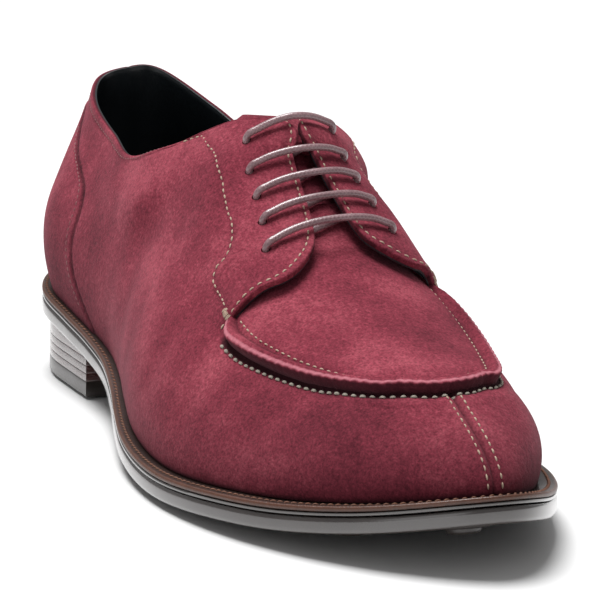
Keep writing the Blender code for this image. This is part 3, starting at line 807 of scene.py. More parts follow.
@dataclass(frozen=True)
class Rubber:
    """Moulded rubber with a low gloss."""

    name: str
    colour: Colour
    shade: Colour
    roughness: float = 0.34
    coat: float = 0.5
    cloud: Cloud = Cloud(60.0, 1500.0, 0.3)

    def material(self, effects: Effects) -> Material:
        """The material of the rubber."""
        material, board, shader, place = new_material(self.name)
        cloud = self.cloud.lay(board, effects, place)
        board.fill(shader, {
            "Base Color": board.mix(cloud, rgba(self.shade), rgba(self.colour)),
            "Roughness": board.about(cloud, self.roughness, 0.2),
            "Coat Weight": self.coat,
            "Coat Roughness": 0.2,
            "Normal": board.bump(board.noise(place, 1800.0, 2.0), 0.00008),
        })
        return material


@dataclass(frozen=True)
class Thread:
    """Twisted sewing thread."""

    name: str
    colour: Colour
    shade: Colour
    cloud: Cloud = Cloud(200.0, 1600.0, 0.6)

    def material(self, effects: Effects) -> Material:
        """The material of the thread."""
        material, board, shader, place = new_material(self.name)
        cloud = self.cloud.lay(board, effects, place)
        board.fill(shader, {
            "Base Color": board.mix(cloud, rgba(self.shade), rgba(self.colour)),
            "Roughness": 0.7,
            "Normal": board.bump(board.noise(place, self.cloud.flecks, 2.0), 0.0002),
        })
        return material


@dataclass(frozen=True)
class WaxedCord:
    """Round braided cotton cord with a wax finish, its braid read from the cord's own map."""

    name: str = "waxed_cord"
    colour: Colour = (0.370, 0.235, 0.250)
    shade: Colour = (0.150, 0.070, 0.080)
    strands: float = 5.0
    plaits: float = 1.7
    cloud: Cloud = Cloud(150.0, 1400.0, 0.4)

    def material(self, effects: Effects) -> Material:
        """The material of the cord."""
        material, board, shader, place = new_material(self.name)
        mapped = board.add("ShaderNodeUVMap", uv_map="cord").outputs[0]
        parts = board.add("ShaderNodeSeparateXYZ", {0: mapped})
        around, along = (board.maths("MULTIPLY", parts.outputs[k], 2 * math.pi * count)
                         for k, count in enumerate((self.strands, self.plaits)))
        left, right = (board.maths("SINE", board.maths(operation, around, along))
                       for operation in ("ADD", "SUBTRACT"))
        braid = board.remap(board.maths("MAXIMUM", left, right), -0.3, 1.0)
        tone = board.mix(self.cloud.lay(board, effects, place), rgba(self.shade), rgba(self.colour))
        board.fill(shader, {
            # Painted shade: the braid's hollows are darkened towards the shade colour.
            "Base Color": board.mix(board.remap(braid, 0, 1, 0.45, 0.0), tone, rgba(self.shade)),
            "Roughness": 0.34,
            "Coat Weight": 0.9,
            "Coat Roughness": 0.22,
            "Normal": board.bump(braid, 0.0001, 0.6),
        })
        return material


@dataclass(frozen=True)
class Brass:
    """Worn brass of the heel's nails."""

    name: str = "nail_brass"
    colour: Colour = (0.70, 0.48, 0.20)
    shade: Colour = (0.36, 0.24, 0.10)
    cloud: Cloud = Cloud(500.0, 2500.0, 0.5)

    def material(self, effects: Effects) -> Material:
        """The material of the brass."""
        material, board, shader, place = new_material(self.name)
        cloud = self.cloud.lay(board, effects, place)
        board.fill(shader, {
            "Base Color": board.mix(cloud, rgba(self.shade), rgba(self.colour)),
            "Metallic": 1.0,
            "Roughness": board.remap(cloud, 0.0, 1.0, 0.45, 0.25),
        })
        return material


class Wardrobe:
    """Every finish of the shoe, made once."""

    def __init__(self) -> None:
        """Make the materials."""
        effects = Effects()

        def thread(name: str, colour: Colour, shade: Colour) -> Material:
            """The material of one thread."""
            return Thread(name, colour, shade).material(effects)

        self.suede = Suede().material(effects)
        self.lining = Leather("black_lining", (0.010, 0.014, 0.017), (0.004, 0.006, 0.008), 0.42, 0.1,
                              1300.0, 0.00005).material(effects)
        self.sock = Leather("sock_leather", (0.011, 0.014, 0.017), (0.006, 0.007, 0.009), 0.75, 0.0,
                            1100.0, 0.00008, 1.3).material(effects)
        # The welt's pale edge spots: a painted highlight along the top of its rounded edge, and a paler edge
        # face.
        self.welt = Leather("welt_leather", (0.032, 0.012, 0.008), (0.012, 0.006, 0.004), 0.45, 0.15,
                            1500.0, 0.0001, pale_edge=PaleSpots((0.15, 0.046, 0.020), 420.0, 0.5)).material(effects)
        self.sole_edge = Leather("edge_ink", (0.040, 0.030, 0.027), (0.020, 0.014, 0.013), 0.20, 0.9,
                                 1800.0, 0.00003, 1.75).material(effects)
        self.heel = Leather("stacked_leather", (0.090, 0.026, 0.022), (0.024, 0.009, 0.009), 0.20, 0.9,
                            1800.0, 0.00004, 1.8, streaks=(1.0, 1.0, 9.0)).material(effects)
        self.rubber = Rubber("sole_rubber", (0.040, 0.030, 0.026), (0.020, 0.015, 0.013)).material(effects)
        self.beige_thread = thread("beige_thread", (0.50, 0.38, 0.28), (0.30, 0.20, 0.15))
        self.base_thread = thread("base_thread", (0.38, 0.345, 0.285), (0.19, 0.165, 0.135))
        self.tonal_thread = thread("tonal_thread", (0.27, 0.11, 0.11), (0.12, 0.04, 0.045))
        self.welt_thread = thread("welt_thread", (0.20, 0.075, 0.036), (0.075, 0.028, 0.015))
        self.lace = WaxedCord().material(effects)
        self.brass = Brass().material(effects)


def end_tree(board: Board, sink: Node, made: Socket,
             material: Socket) -> None:
    """End a tree with real geometry in one material."""
    real = board.add("GeometryNodeRealizeInstances", {0: made})
    dressed = board.add("GeometryNodeSetMaterial", {"Geometry": real.outputs[0], "Material": material})
    board.feed(sink.inputs[0], dressed.outputs[0])


class StitchTree:
    """Geometry Nodes that set beads of thread along lines laid on a surface."""

    def __init__(self) -> None:
        """Build the tree once."""
        tree, board, source, sink = new_group(
            "stitches", "GeometryNodeTree",
            [("Geometry", "NodeSocketGeometry", None), ("Surface", "NodeSocketObject", None),
             ("Bead", "NodeSocketObject", None), ("Spacing", "NodeSocketFloat", 0.0028),
             ("Lift", "NodeSocketFloat", 0.0), ("Unevenness", "NodeSocketFloat", 0.08),
             ("Seed", "NodeSocketInt", 7), ("Material", "NodeSocketMaterial", None)],
            [("Geometry", "NodeSocketGeometry")])
        self.tree = tree
        given = source.outputs
        curve = board.add("GeometryNodeMeshToCurve", {0: given["Geometry"]})
        even = board.add("GeometryNodeResampleCurve", {"Curve": curve.outputs[0], "Length": given["Spacing"]},
                         mode="LENGTH")
        surface = board.add("GeometryNodeObjectInfo", {"Object": given["Surface"]}).outputs["Geometry"]
        close = board.add("GeometryNodeProximity", {0: surface}, target_element="FACES")
        normal = board.add("GeometryNodeInputNormal").outputs[0]
        facing = board.add("GeometryNodeSampleNearestSurface", {"Mesh": surface, "Value": normal},
                           data_type="FLOAT_VECTOR").outputs[0]
        raised = board.add("ShaderNodeVectorMath", {0: facing, "Scale": given["Lift"]}, operation="SCALE")
        seat = board.add("ShaderNodeVectorMath", {0: close.outputs["Position"], 1: raised.outputs[0]},
                         operation="ADD")
        laid = board.add("GeometryNodeSetPosition", {"Geometry": even.outputs[0],
                                                     "Position": seat.outputs[0]})
        tangent = board.add("GeometryNodeInputTangent").outputs[0]
        turned = board.add("FunctionNodeAxesToRotation", {0: facing, 1: tangent}, primary_axis="Z",
                           secondary_axis="X")
        stitch = board.add("GeometryNodeObjectInfo", {"Object": given["Bead"]})
        least = board.maths("SUBTRACT", 1.0, given["Unevenness"])
        most = board.maths("ADD", 1.0, given["Unevenness"])
        spread = board.add("FunctionNodeRandomValue", {"Seed": given["Seed"], 2: least, 3: most},
                           data_type="FLOAT")
        beads = board.add("GeometryNodeInstanceOnPoints", {
            "Points": laid.outputs[0], "Instance": stitch.outputs["Geometry"],
            "Rotation": turned.outputs[0], "Scale": spread.outputs[1]})
        end_tree(board, sink, beads.outputs[0], given["Material"])

    def sew(self, name: str, last: Last, lines: Sequence[Array], surface: Piece,
            bead: Piece, material: Material, spacing: float, lift: float) -> Piece:
        """Set beads along lines.

        Args:
            name: Name of the piece.
            last: The last that places the lines.
            lines: Lines of points in millimetres.
            surface: The piece that the beads lie on.
            bead: One stitch, along +X with its top to +Z.
            material: The thread's material.
            spacing: Distance from stitch to stitch in millimetres.
            lift: Height of the stitches' middles over the surface in millimetres.

        Returns:
            The stitches as one mesh.
        """
        points = np.concatenate(lines)
        edges = []
        start = 0
        for line in lines:
            edges += [(start + i, start + i + 1) for i in range(len(line) - 1)]
            start += len(line)
        path = bpy.data.meshes.new(name + "_path")
        path.from_pydata(((points - last.origin()) * METRE).tolist(), edges, [])
        values = {"Surface": surface, "Bead": bead, "Spacing": spacing * METRE, "Lift": lift * METRE,
                  "Material": material}
        return grow(name, path, self.tree, values)


def grow(name: str, mesh: bpy.types.Mesh, tree: Tree, values: dict) -> Piece:
    """Run a Geometry Nodes tree on a mesh and keep the result as a plain mesh.

    Args:
        name: Name of the piece.
        mesh: What the tree starts from.
        tree: The tree.
        values: Values of its inputs by name.

    Returns:
        The new object.
    """
    start = bpy.data.objects.new(name + "_start", mesh)
    link(start)
    modifier = start.modifiers.new("grow", "NODES")
    modifier.node_group = tree
    for item in tree.interface.items_tree:
        if item.item_type == "SOCKET" and item.in_out == "INPUT" and item.name in values:
            modifier[item.identifier] = values[item.name]
    made = applied(start)
    made.name = name
    bpy.data.objects.remove(start)
    return finished(name, made, recalculate=False)


def guide(name: str, points: Array, faces: list) -> Piece:
    """An object in metres that only a tree or a cut reads, kept out of the scene."""
    mesh = bpy.data.meshes.new(name)
    mesh.from_pydata(points.tolist(), [], faces)
    mesh.shade_smooth()
    return bpy.data.objects.new(name, mesh)


def bead(length: float, radius: float, slant: float = 0.0, flat: float = 0.8, rings: int = 5,
         sides: int = 7) -> Piece:
    """One stitch: a plump bead that dips at both ends.

    Args:
        length: Length along +X in millimetres.
        radius: Half its thickness.
        slant: Turn about its upright in degrees.
        flat: Height as a share of its thickness.
        rings: Rings along it.
        sides: Sides of each ring.

    Returns:
        The guide object.
    """
    turns = np.linspace(0, 2 * math.pi, sides, endpoint=False)
    points = [(-length / 2, 0.0, -radius * 0.6)]
    for i in range(rings):
        share = (i + 1) / (rings + 1)
        swell = math.sin(math.pi * share) ** 0.5
        dip = radius * 0.6 * (math.sin(math.pi * share) - 1)
        across, above = radius * swell, radius * flat * swell
        points += [(length * (share - 0.5), across * math.cos(a), dip + above * math.sin(a)) for a in turns]
    points.append((length / 2, 0.0, -radius * 0.6))
    faces = [(0, 1 + (k + 1) % sides, 1 + k) for k in range(sides)]
    for i in range(rings - 1):
        low = 1 + i * sides
        faces += [(low + k, low + (k + 1) % sides, low + sides + (k + 1) % sides, low + sides + k)
                  for k in range(sides)]
    low = 1 + (rings - 1) * sides
    faces += [(low + k, low + (k + 1) % sides, len(points) - 1) for k in range(sides)]
    turned = np.array(points) @ np.array(Matrix.Rotation(math.radians(slant), 3, "Z")).T
    return guide("bead", turned * METRE, faces)


def wear_on(piece: Piece, slot: Slot, *nodes: str) -> Piece:
    """Let a piece ride on the shoe and stand for its solids."""
    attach(piece, BODY)
    if nodes:
        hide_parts(*nodes)
    log.info("%s: %d faces", piece.name, len(piece.data.polygons))
    return piece


@dataclass(frozen=True)
class Seam:
    """A sewn line where one layer of the panels ends over another, ahead of it (1) or behind it (-1)."""

    places: Places
    sense: int
    limit: float
    layer: float
    slope: float
    sunk: float
    sunk_width: float
    # Painted shade along the seam: its strength and width.
    dark: float
    dark_width: float
    fade: float = math.inf


@dataclass
class Upper:
    """Side panels with facings, lining, apron with its raised lip, and tongue."""

    last: Last
    wardrobe: Wardrobe
    stitches: StitchTree
    wall: float = 2.2
    suede: float = 1.3
    tab_lift: float = 5.0
    tab_start: float = 0.54
    tab_full: float = 0.78
    panel_bend: float = 4.0
    lip_lift: float = 3.8
    apron_depth: float = 1.4
    tongue_thick: float = 2.4
    edge_round: float = 0.7
    seam_inset: float = 2.4
    crown_reach: float = 20.0
    toe_rows: float = 2.1
    hole: float = 4.2
    hole_share: float = 0.72
    panel_columns: tuple[str, ...] = ("foot", "turn", "lateral", "medial", "lift")
    panel_rows: Table = (
        (1.000, 1.000, 0.720, 0.720, 0.00),
        (0.950, 0.950, 0.712, 0.728, 0.00),
        (0.890, 0.890, 0.715, 0.732, 0.00),
        (0.840, 0.840, 0.715, 0.725, 0.00),
        (0.790, 0.790, 0.695, 0.705, 0.00),
        (0.750, 0.750, 0.660, 0.682, 0.00),
        (0.710, 0.710, 0.622, 0.660, 0.00),
        (0.670, 0.670, 0.588, 0.645, 0.00),
        (0.640, 0.640, 0.572, 0.636, 0.00),
        (0.620, 0.624, 0.570, 0.632, 0.00),
        (0.602, 0.613, 0.585, 0.634, 0.00),
        (0.587, 0.616, 0.655, 0.690, 0.50),
        (0.573, 0.621, 0.725, 0.745, 0.90),
        (0.558, 0.627, 0.790, 0.800, 1.00),
        (0.541, 0.624, 0.850, 0.865, 1.00),
        (0.522, 0.611, 0.912, 0.932, 1.00),
        (0.503, 0.590, 0.942, 0.955, 1.00),
        (0.485, 0.562, 0.958, 0.967, 1.00),
        (0.462, 0.528, 0.972, 0.978, 1.00),
        (0.440, 0.494, 0.986, 0.990, 1.00),
        (0.420, 0.470, 0.997, 0.997, 1.00),
        (0.400, 0.450, 1.000, 1.000, 0.90),
        (0.380, 0.428, 1.000, 1.000, 0.60),
        (0.350, 0.385, 1.000, 1.000, 0.28),
        (0.310, 0.325, 1.000, 1.000, 0.06),
        (0.260, 0.262, 1.000, 1.000, 0.00),
        (0.200, 0.200, 1.000, 1.000, 0.00),
        (0.140, 0.140, 1.000, 1.000, 0.00),
        (0.090, 0.090, 1.000, 1.000, 0.00),
        (0.045, 0.045, 1.000, 1.000, 0.00),
        (0.000, 0.000, 1.000, 1.000, 0.00),
    )
    apron_columns: tuple[str, ...] = ("turn", "lateral", "medial", "lip", "flat")
    apron_rows: Table = (
        (1.000, 0.700, 0.700, 1.00, 0.45),
        (0.950, 0.692, 0.708, 1.00, 0.45),
        (0.890, 0.695, 0.712, 1.00, 0.45),
        (0.840, 0.695, 0.705, 1.00, 0.45),
        (0.790, 0.675, 0.685, 1.00, 0.45),
        (0.750, 0.642, 0.662, 1.00, 0.45),
        (0.710, 0.604, 0.640, 1.00, 0.45),
        (0.670, 0.570, 0.625, 1.00, 0.40),
        (0.640, 0.554, 0.616, 0.95, 0.30),
        (0.622, 0.556, 0.616, 0.75, 0.15),
        (0.608, 0.600, 0.640, 0.10, -0.12),
        (0.598, 0.680, 0.700, -0.24, -0.26),
        (0.588, 0.740, 0.750, -0.26, -0.26),
        (0.575, 0.790, 0.795, -0.26, -0.26),
        (0.560, 0.830, 0.835, -0.26, -0.26),
    )
    tongue_columns: tuple[str, ...] = ("turn", "lateral", "medial", "lift")
    tongue_rows: Table = (
        (0.580, 0.860, 0.860, -0.66),
        (0.563, 0.850, 0.850, -0.66),
        (0.548, 0.820, 0.825, -0.26),
        (0.528, 0.785, 0.795, -0.24),
        (0.500, 0.765, 0.780, -0.24),
        (0.474, 0.770, 0.790, -0.24),
        (0.463, 0.830, 0.840, 0.30),
        (0.453, 0.870, 0.880, 0.74),
        (0.445, 0.890, 0.900, 0.86),
    )
    hole_rows: Table = (
        (0.476, 0.865, 0.885),
        (0.516, 0.850, 0.872),
        (0.546, 0.838, 0.862),
        (0.572, 0.820, 0.846),
        (0.596, 0.790, 0.818),
    )
    lip_profile: Places = (
        (0.0, 0.66), (0.1, 0.80), (0.3, 0.91), (0.6, 0.98), (1.0, 1.0), (1.5, 0.97), (2.0, 0.99),
        (2.5, 1.0), (2.9, 0.95), (3.2, 0.82), (3.5, 0.58), (3.8, 0.28), (4.2, -0.06), (4.7, -0.22),
        (5.3, -0.20), (6.2, -0.04),
    )
    facing_seam: Seam = Seam((
        (0.420, 0.990), (0.433, 0.955), (0.446, 0.880), (0.468, 0.795), (0.505, 0.768), (0.536, 0.757),
        (0.556, 0.745), (0.568, 0.720), (0.573, 0.690), (0.571, 0.655), (0.573, 0.632), (0.584, 0.622),
        (0.598, 0.618), (0.606, 0.612),
    ), sense=1, limit=0.612, layer=0.4, slope=0.9, sunk=0.30, sunk_width=0.6, dark=0.40, dark_width=0.55)
    counter_seam: Seam = Seam((
        (0.150, 0.900), (0.190, 0.820), (0.226, 0.740), (0.262, 0.680), (0.284, 0.620), (0.292, 0.520),
        (0.292, 0.400), (0.297, 0.280), (0.309, 0.180), (0.328, 0.090), (0.346, 0.005),
    ), sense=-1, limit=0.9, layer=0.55, slope=0.8, sunk=0.35, sunk_width=0.55, dark=0.95, dark_width=0.8,
        fade=40.0)
    crease_rows: tuple[tuple[Places, float, float], ...] = (
        (((0.640, 0.50), (0.628, 0.38), (0.622, 0.24)), 5.0, 0.45),
        (((0.580, 0.56), (0.566, 0.42), (0.560, 0.28)), 6.0, 0.40),
        (((0.440, 0.72), (0.430, 0.52), (0.436, 0.32)), 8.0, 0.45),
        (((0.300, 0.93), (0.350, 0.90), (0.400, 0.88)), 5.0, 0.30),
        (((0.200, 0.55), (0.140, 0.50), (0.080, 0.50)), 8.0, 0.35),
        (((0.720, 0.52), (0.700, 0.36), (0.690, 0.20)), 5.0, 0.30),
    )
    pinch_pitch: float = 3.2
    pinch_depth: float = 0.16
    free_behind: float = 0.618
    bare: Array = field(default_factory=lambda: np.zeros((0, 3)))
    raised: Array = field(default_factory=lambda: np.zeros((0, 3)))

    def stations(self, rows: Table, names: tuple[str, ...], wanted: Sequence[str], at: Array) -> list:
        """Named columns of a table, read smoothly at places counted in rows."""
        knots = np.arange(len(rows))
        return [blend(knots, column(rows, names, name), at) for name in wanted]

    def even_places(self, rows: Table, names: tuple[str, ...], side: Side, count: int, foot: str) -> Array:
        """Places counted in rows that lie at even distances along a table's edge.

        Args:
            rows: The table.
            names: Its columns.
            side: The side of the shoe.
            count: Number of places.
            foot: Column of the foot's turn, weighed in with the edge.

        Returns:
            The places.
        """
        dense = np.linspace(0, len(rows) - 1, 40 * (len(rows) - 1) + 1)
        turned, share, low = self.stations(rows, names, ("turn", side.name.lower(), foot), dense)
        edge = self.last.skin(np.clip(turned, 0, 1), np.minimum(share, 1), side)
        base = self.last.skin(np.clip(low, 0, 1), np.zeros_like(low), side)
        travelled = runs(edge) + 0.5 * runs(base)
        return np.interp(np.linspace(0, travelled[-1], count), travelled, dense)

    def panel_stations(self, side: Side, at: Array) -> tuple[Array, ...]:
        """Foot, turn, share of the edge and raise of one side panel, at places counted in rows."""
        names = ("foot", "turn", side.name.lower(), "lift")
        foot, turned, top, raised = self.stations(self.panel_rows, self.panel_columns, names, at)
        return foot, turned, np.minimum(top, 1.0), np.clip(raised, 0, 1)

    def panel(self, side: Side, count: int, climb: Array) -> tuple[Array, Array, Array]:
        """Turns, shares and lifts of one side panel, toe to heel, welt to edge."""
        at = self.even_places(self.panel_rows, self.panel_columns, side, count, "foot")
        foot, turned, top, raised = self.panel_stations(side, at)
        top = top[:, None]
        share = top * climb[None, :]
        t = np.clip(foot[:, None] + (turned - foot)[:, None] * climb[None, :] ** self.panel_bend, 0, 1)
        full = np.maximum(np.minimum(top, self.tab_full), self.tab_start + 0.01)
        climbed = ease((share - self.tab_start) / (full - self.tab_start))
        lift = self.tab_lift * raised[:, None] * climbed
        return t, share, lift

    def band(self, count: int, climb: Array) -> tuple[Array, ...]:
        """The panels as one ring from the toe round the heel: points, turns, shares, lifts and side signs."""
        lateral = self.panel(Side.LATERAL, count, climb)
        medial = self.panel(Side.MEDIAL, count, climb)
        near = self.last.skin(lateral[0], lateral[1], Side.LATERAL)
        far = self.last.skin(medial[0], medial[1], Side.MEDIAL)
        signs = np.concatenate([np.full(near.shape[:2], -1.0), np.full(far[-2:0:-1].shape[:2], 1.0)])
        joined = [np.concatenate([lateral[k], medial[k][-2:0:-1]]) for k in range(3)]
        return np.concatenate([near, far[-2:0:-1]]), *joined, signs

    def apron_edges(self, inside: float, lift: float = 0.0) -> list[Array]:
        """Lines beside the apron's edge on both sides, as shares inside it."""
        rows = self.apron_rows[:10]
        return [self.last.line([(row[0], row[1 + k] + inside) for row in rows], side, 0.8, lift)
                for k, side in enumerate(Side)]

    def on_panel(self, line: Array) -> Array:
        """A line of the bare form, moved out onto the finished panels."""
        moved = np.empty_like(line)
        for k, point in enumerate(line):
            moved[k] = point + self.raised[((self.bare - point) ** 2).sum(1).argmin()]
        return moved

    def seam_lines(self, places: Places, step: float = 0.8) -> list[Array]:
        """One seam on both sides of the shoe."""
        return [self.last.line(places, side, step) for side in Side]

    def quarters(self) -> Piece:
        """The suede of both side panels, with its seams sunk, its facings raised, and painted shade in its
        seams, under the apron's lip, on the free edge and towards the welt.
        """
        rim = 1 - 0.028 * np.array([0.75, 0.52, 0.34, 0.2, 0.1, 0.04, 0])
        count = 300
        grid, t, share, lift, signs = self.band(count, np.concatenate([np.linspace(0, 0.972, 62), rim]))
        flat = grid.reshape(-1, 3)
        shape = grid.shape[:2]
        edge = np.linalg.norm(grid - grid[:, -1:], axis=-1)
        free = (t[:, -1:] < self.free_behind) * np.ones(shape)
        over = np.array(lift)
        near_edge = np.minimum(edge, self.edge_round)
        over -= self.edge_round - np.sqrt(self.edge_round ** 2 - (self.edge_round - near_edge) ** 2)
        sewn = ridge(edge - self.seam_inset, 0.55) * free
        over -= 0.28 * sewn
        # Painted shade, set here in the sunk row inside the free edge and added below in the seams, the toe
        # and heel seams, under the apron's lip, towards the welt and on the free edge's cut face.
        painted_shade = 0.35 * sewn
        for seam in (self.facing_seam, self.counter_seam):
            rows = np.array(seam.places)
            past = (t - np.interp(share, rows[::-1, 1], rows[::-1, 0])) * seam.sense > 0
            layered = past & ((share - seam.limit) * seam.sense > 0)
            for side, line in zip(Side, self.seam_lines(seam.places)):
                away = nearest(flat, line).reshape(shape)
                here = signs * side.value >= 0
                layer = layered * seam.layer * ease(away / seam.slope) * ridge(away, seam.fade)
                over += here * (layer - seam.sunk * ridge(away, seam.sunk_width))
                painted_shade = np.maximum(painted_shade, here * seam.dark * ridge(away, seam.dark_width))
        toe = nearest(flat, grid[0]).reshape(shape)
        over += 0.35 * ridge(toe - 2.2, 1.6) - 0.9 * ridge(toe, 0.75)
        painted_shade = np.maximum(painted_shade, 0.6 * ridge(toe, 0.5))
        back = nearest(flat, grid[count - 1]).reshape(shape)
        over -= 0.4 * ridge(back, 0.7)
        painted_shade = np.maximum(painted_shade, 0.6 * ridge(back, 0.5))
        for side, line in zip(Side, self.apron_edges(0.0)):
            away = nearest(flat, line).reshape(shape)
            here = (signs * side.value >= 0) * (t > 0.6)
            over -= here * 0.6 * ridge(away - 1.2, 1.3)
            # Painted shadow under the apron's lip.
            painted_shade = np.maximum(painted_shade, here * 0.95 * ease((2.9 - away) / 1.2))
        for side in Side:
            for places, width, depth in self.crease_rows:
                away = nearest(flat, self.last.line(places, side, 1.5)).reshape(shape)
                over -= depth * ridge(away, width) * (signs * side.value >= 0)
        foot = np.linalg.norm(grid - grid[:, :1], axis=-1)
        # Painted shade at the welt, fading up the lower sides.
        painted_shade = np.maximum(painted_shade, np.maximum(0.85 * ridge(foot, 1.6), 0.38 * ridge(foot, 24.0)))
        # Painted shadow on the cut face of the free edge.
        painted_shade = np.maximum(painted_shade, 0.7 * free * (edge < 0.05))
        self.bare = flat
        self.raised = (point_normals(grid, True) * over[..., None]).reshape(-1, 3)
        piece = shell("suede_quarters", self.last, grid, over, lift - self.suede, [self.wardrobe.suede],
                      {"painted_shade": painted_shade}, ring=True)
        self.cut_holes(piece)
        return wear_on(piece, Slot.SUEDE, "upper")

    def lining(self) -> Piece:
        """The black leather lining inside the panels, flush with their edges."""
        climb = np.concatenate([np.linspace(0, 0.97, 30), 1 - 0.03 * np.array([0.6, 0.3, 0.1, 0])])
        grid, _, _, lift, _ = self.band(150, climb)
        edge = np.linalg.norm(grid - grid[:, -1:], axis=-1)
        inner = lift - self.wall + 0.35 * (1 - ease(edge / 1.2))
        piece = shell("lining", self.last, grid, lift - self.suede - 0.05, inner, [self.wardrobe.lining],
                      ring=True)
        self.cut_holes(piece)
        return wear_on(piece, Slot.LINING)

    def cut_holes(self, piece: Piece) -> None:
        """Cut the lace holes through a piece."""
        work = bmesh.new()
        for row in self.hole_rows:
            for side, share in zip(Side, row[1:]):
                middle = (self.last.place(row[0], share, side, self.tab_lift - self.wall / 2)
                          - self.last.origin()) * METRE
                axis = Vector(self.last.normal(np.float64(row[0]), np.float64(share), side))
                place = Matrix.Translation(middle) @ axis.to_track_quat("Z", "Y").to_matrix().to_4x4()
                radius = self.hole / 2 * self.hole_share * METRE
                bmesh.ops.create_cone(work, cap_ends=True, segments=20, radius1=radius, radius2=radius,
                                      depth=3.5 * self.wall * METRE, matrix=place)
        mesh = bpy.data.meshes.new("holes")
        work.to_mesh(mesh)
        work.free()
        cutter = bpy.data.objects.new("holes", mesh)
        link(cutter)
        modifier = piece.modifiers.new("holes", "BOOLEAN")
        modifier.operation = "DIFFERENCE"
        modifier.solver = "EXACT"
        modifier.object = cutter
        piece.data = applied(piece)
        bpy.data.objects.remove(cutter)

    def apron(self) -> Piece:
        """The apron with its pinched and sewn lip, painted shade on the lip's outer wall and in the groove
        inside it, and a painted highlight along its crest.
        """
        profile = np.array(self.lip_profile)
        rest = np.linspace(0, 1, 34)[1:]
        halves = []
        lifts = []
        painted_shades = []
        crest_highlights = []
        for side in Side:
            at = self.even_places(self.apron_rows, self.apron_columns, side, 330, "turn")
            t, edge, lip, flat = self.stations(self.apron_rows, self.apron_columns,
                                               ("turn", side.name.lower(), "lip", "flat"), at)
            t = np.clip(t, 0, 1)[:, None]
            edge = edge[:, None]
            border = self.last.skin(t, edge, side)
            reach = np.linalg.norm(self.last.skin(t, np.ones_like(t), side) - border, axis=-1)
            away = np.concatenate([profile[:, 0], np.zeros(len(rest))])[None, :]
            share = edge + (1 - edge) * np.minimum(away / reach, 1.0)
            count = len(profile)
            share[:, count:] = share[:, count - 1:count] * (1 - rest[None, :]) + rest[None, :]
            raised = np.concatenate([profile[:, 1], np.zeros(len(rest))])[None, :]
            travelled = runs(border[:, 0])[:, None]
            lipped = lip[:, None] > 0.3
            pinch = np.cos(2 * math.pi * travelled / self.pinch_pitch) * ridge(away - 0.6, 1.6) * lipped
            pinch[:, count:] = 0
            halves.append(self.last.skin(np.broadcast_to(t, share.shape), share, side))
            height = flat[:, None] + (lip - flat)[:, None] * raised
            lifts.append(self.lip_lift * height - self.pinch_depth * pinch)
            # Painted shade on the lip's outer wall and in the groove inside the lip.
            dark = 0.6 * ridge(away - 4.7, 0.5) + 0.8 * ridge(away, 0.22)
            # Painted highlight along the lip's crest.
            light = ridge(away - 1.1, 0.75)
            for mark, found in ((dark, painted_shades), (light, crest_highlights)):
                mark = mark * lipped
                mark[:, count:] = 0
                found.append(np.clip(mark, 0, 0.85))
        lift = side_to_side(lifts)
        piece = shell("suede_apron", self.last, self.rounded_crown(side_to_side(halves)), lift,
                      np.minimum(lift, 0) - self.apron_depth, [self.wardrobe.suede],
                      {"painted_shade": side_to_side(painted_shades), "pale_edge": side_to_side(crest_highlights)}, sharp=180.0)
        return wear_on(piece, Slot.SUEDE)

    def rounded_crown(self, grid: Array) -> Array:
        """The apron's points with their heights evened where the ribs meet above the toe."""
        crown = grid[0, grid.shape[1] // 2]
        flat = grid.reshape(-1, 3).copy()
        plan = (flat[:, :2] - crown[:2]) / self.crown_reach
        away = np.linalg.norm(plan, axis=1)
        terms = np.stack([plan[:, 0] ** i * plan[:, 1] ** j for i in range(4) for j in range(4 - i)], 1)
        known = (away > 0.55) & (away < 1.25)
        fit = np.linalg.lstsq(terms[known], flat[known, 2], rcond=None)[0]
        near = away < 1
        weight = ease((away[near] - 0.4) / 0.6)
        flat[near, 2] = weight * flat[near, 2] + (1 - weight) * (terms[near] @ fit)
        return flat.reshape(grid.shape)

    def tongue(self) -> Piece:
        """The tongue below the facings, its end raised between their tops."""
        halves = []
        at = np.linspace(0, len(self.tongue_rows) - 1, 60)
        for side in Side:
            t, edge, lift = self.stations(self.tongue_rows, self.tongue_columns,
                                          ("turn", side.name.lower(), "lift"), at)
            share = edge[:, None] + (1 - edge[:, None]) * np.linspace(0, 1, 20)[None, :]
            halves.append(self.last.skin(np.broadcast_to(t[:, None], share.shape), share, side))
        grid = side_to_side(halves)
        over = self.tab_lift * lift[:, None] * np.ones(grid.shape[:2])
        # The whole tongue gets a share of painted shade, as it lies in the facings' shade.
        piece = shell("tongue_suede", self.last, grid, over, over - self.tongue_thick, [self.wardrobe.suede],
                      {"painted_shade": np.full(grid.shape[:2], 0.25)})
        return wear_on(piece, Slot.SUEDE, "tongue")

    def sew(self, quarters: Piece, apron: Piece) -> None:
        """Every row of stitches of the upper."""
        last, thread = self.last, self.wardrobe
        fine, beige, thick = bead(1.5, 0.22), bead(1.8, 0.29), bead(2.1, 0.50)
        tack_rows = (0.606, 0.655)
        toe = [last.line([(self.beside_toe(s, side), s) for s in (0.66, 0.5, 0.35, 0.2, 0.07)], side)
               for side in Side]
        behind = [(t - 0.010, s) for t, s in self.counter_seam.places[1:-1]]
        tacks = [last.line(((0.604, row), (0.612, row - 0.006)), side, 0.5)
                 for side, row in zip(Side, tack_rows)]
        free = [[self.edge_line(side, span) for side in Side] for span in ((10.2, 20.0), (20.0, 30.0))]

        def lifted(lines: Sequence[Array]) -> list[Array]:
            """Lines of the bare form on the finished panels."""
            return [self.on_panel(line) for line in lines]

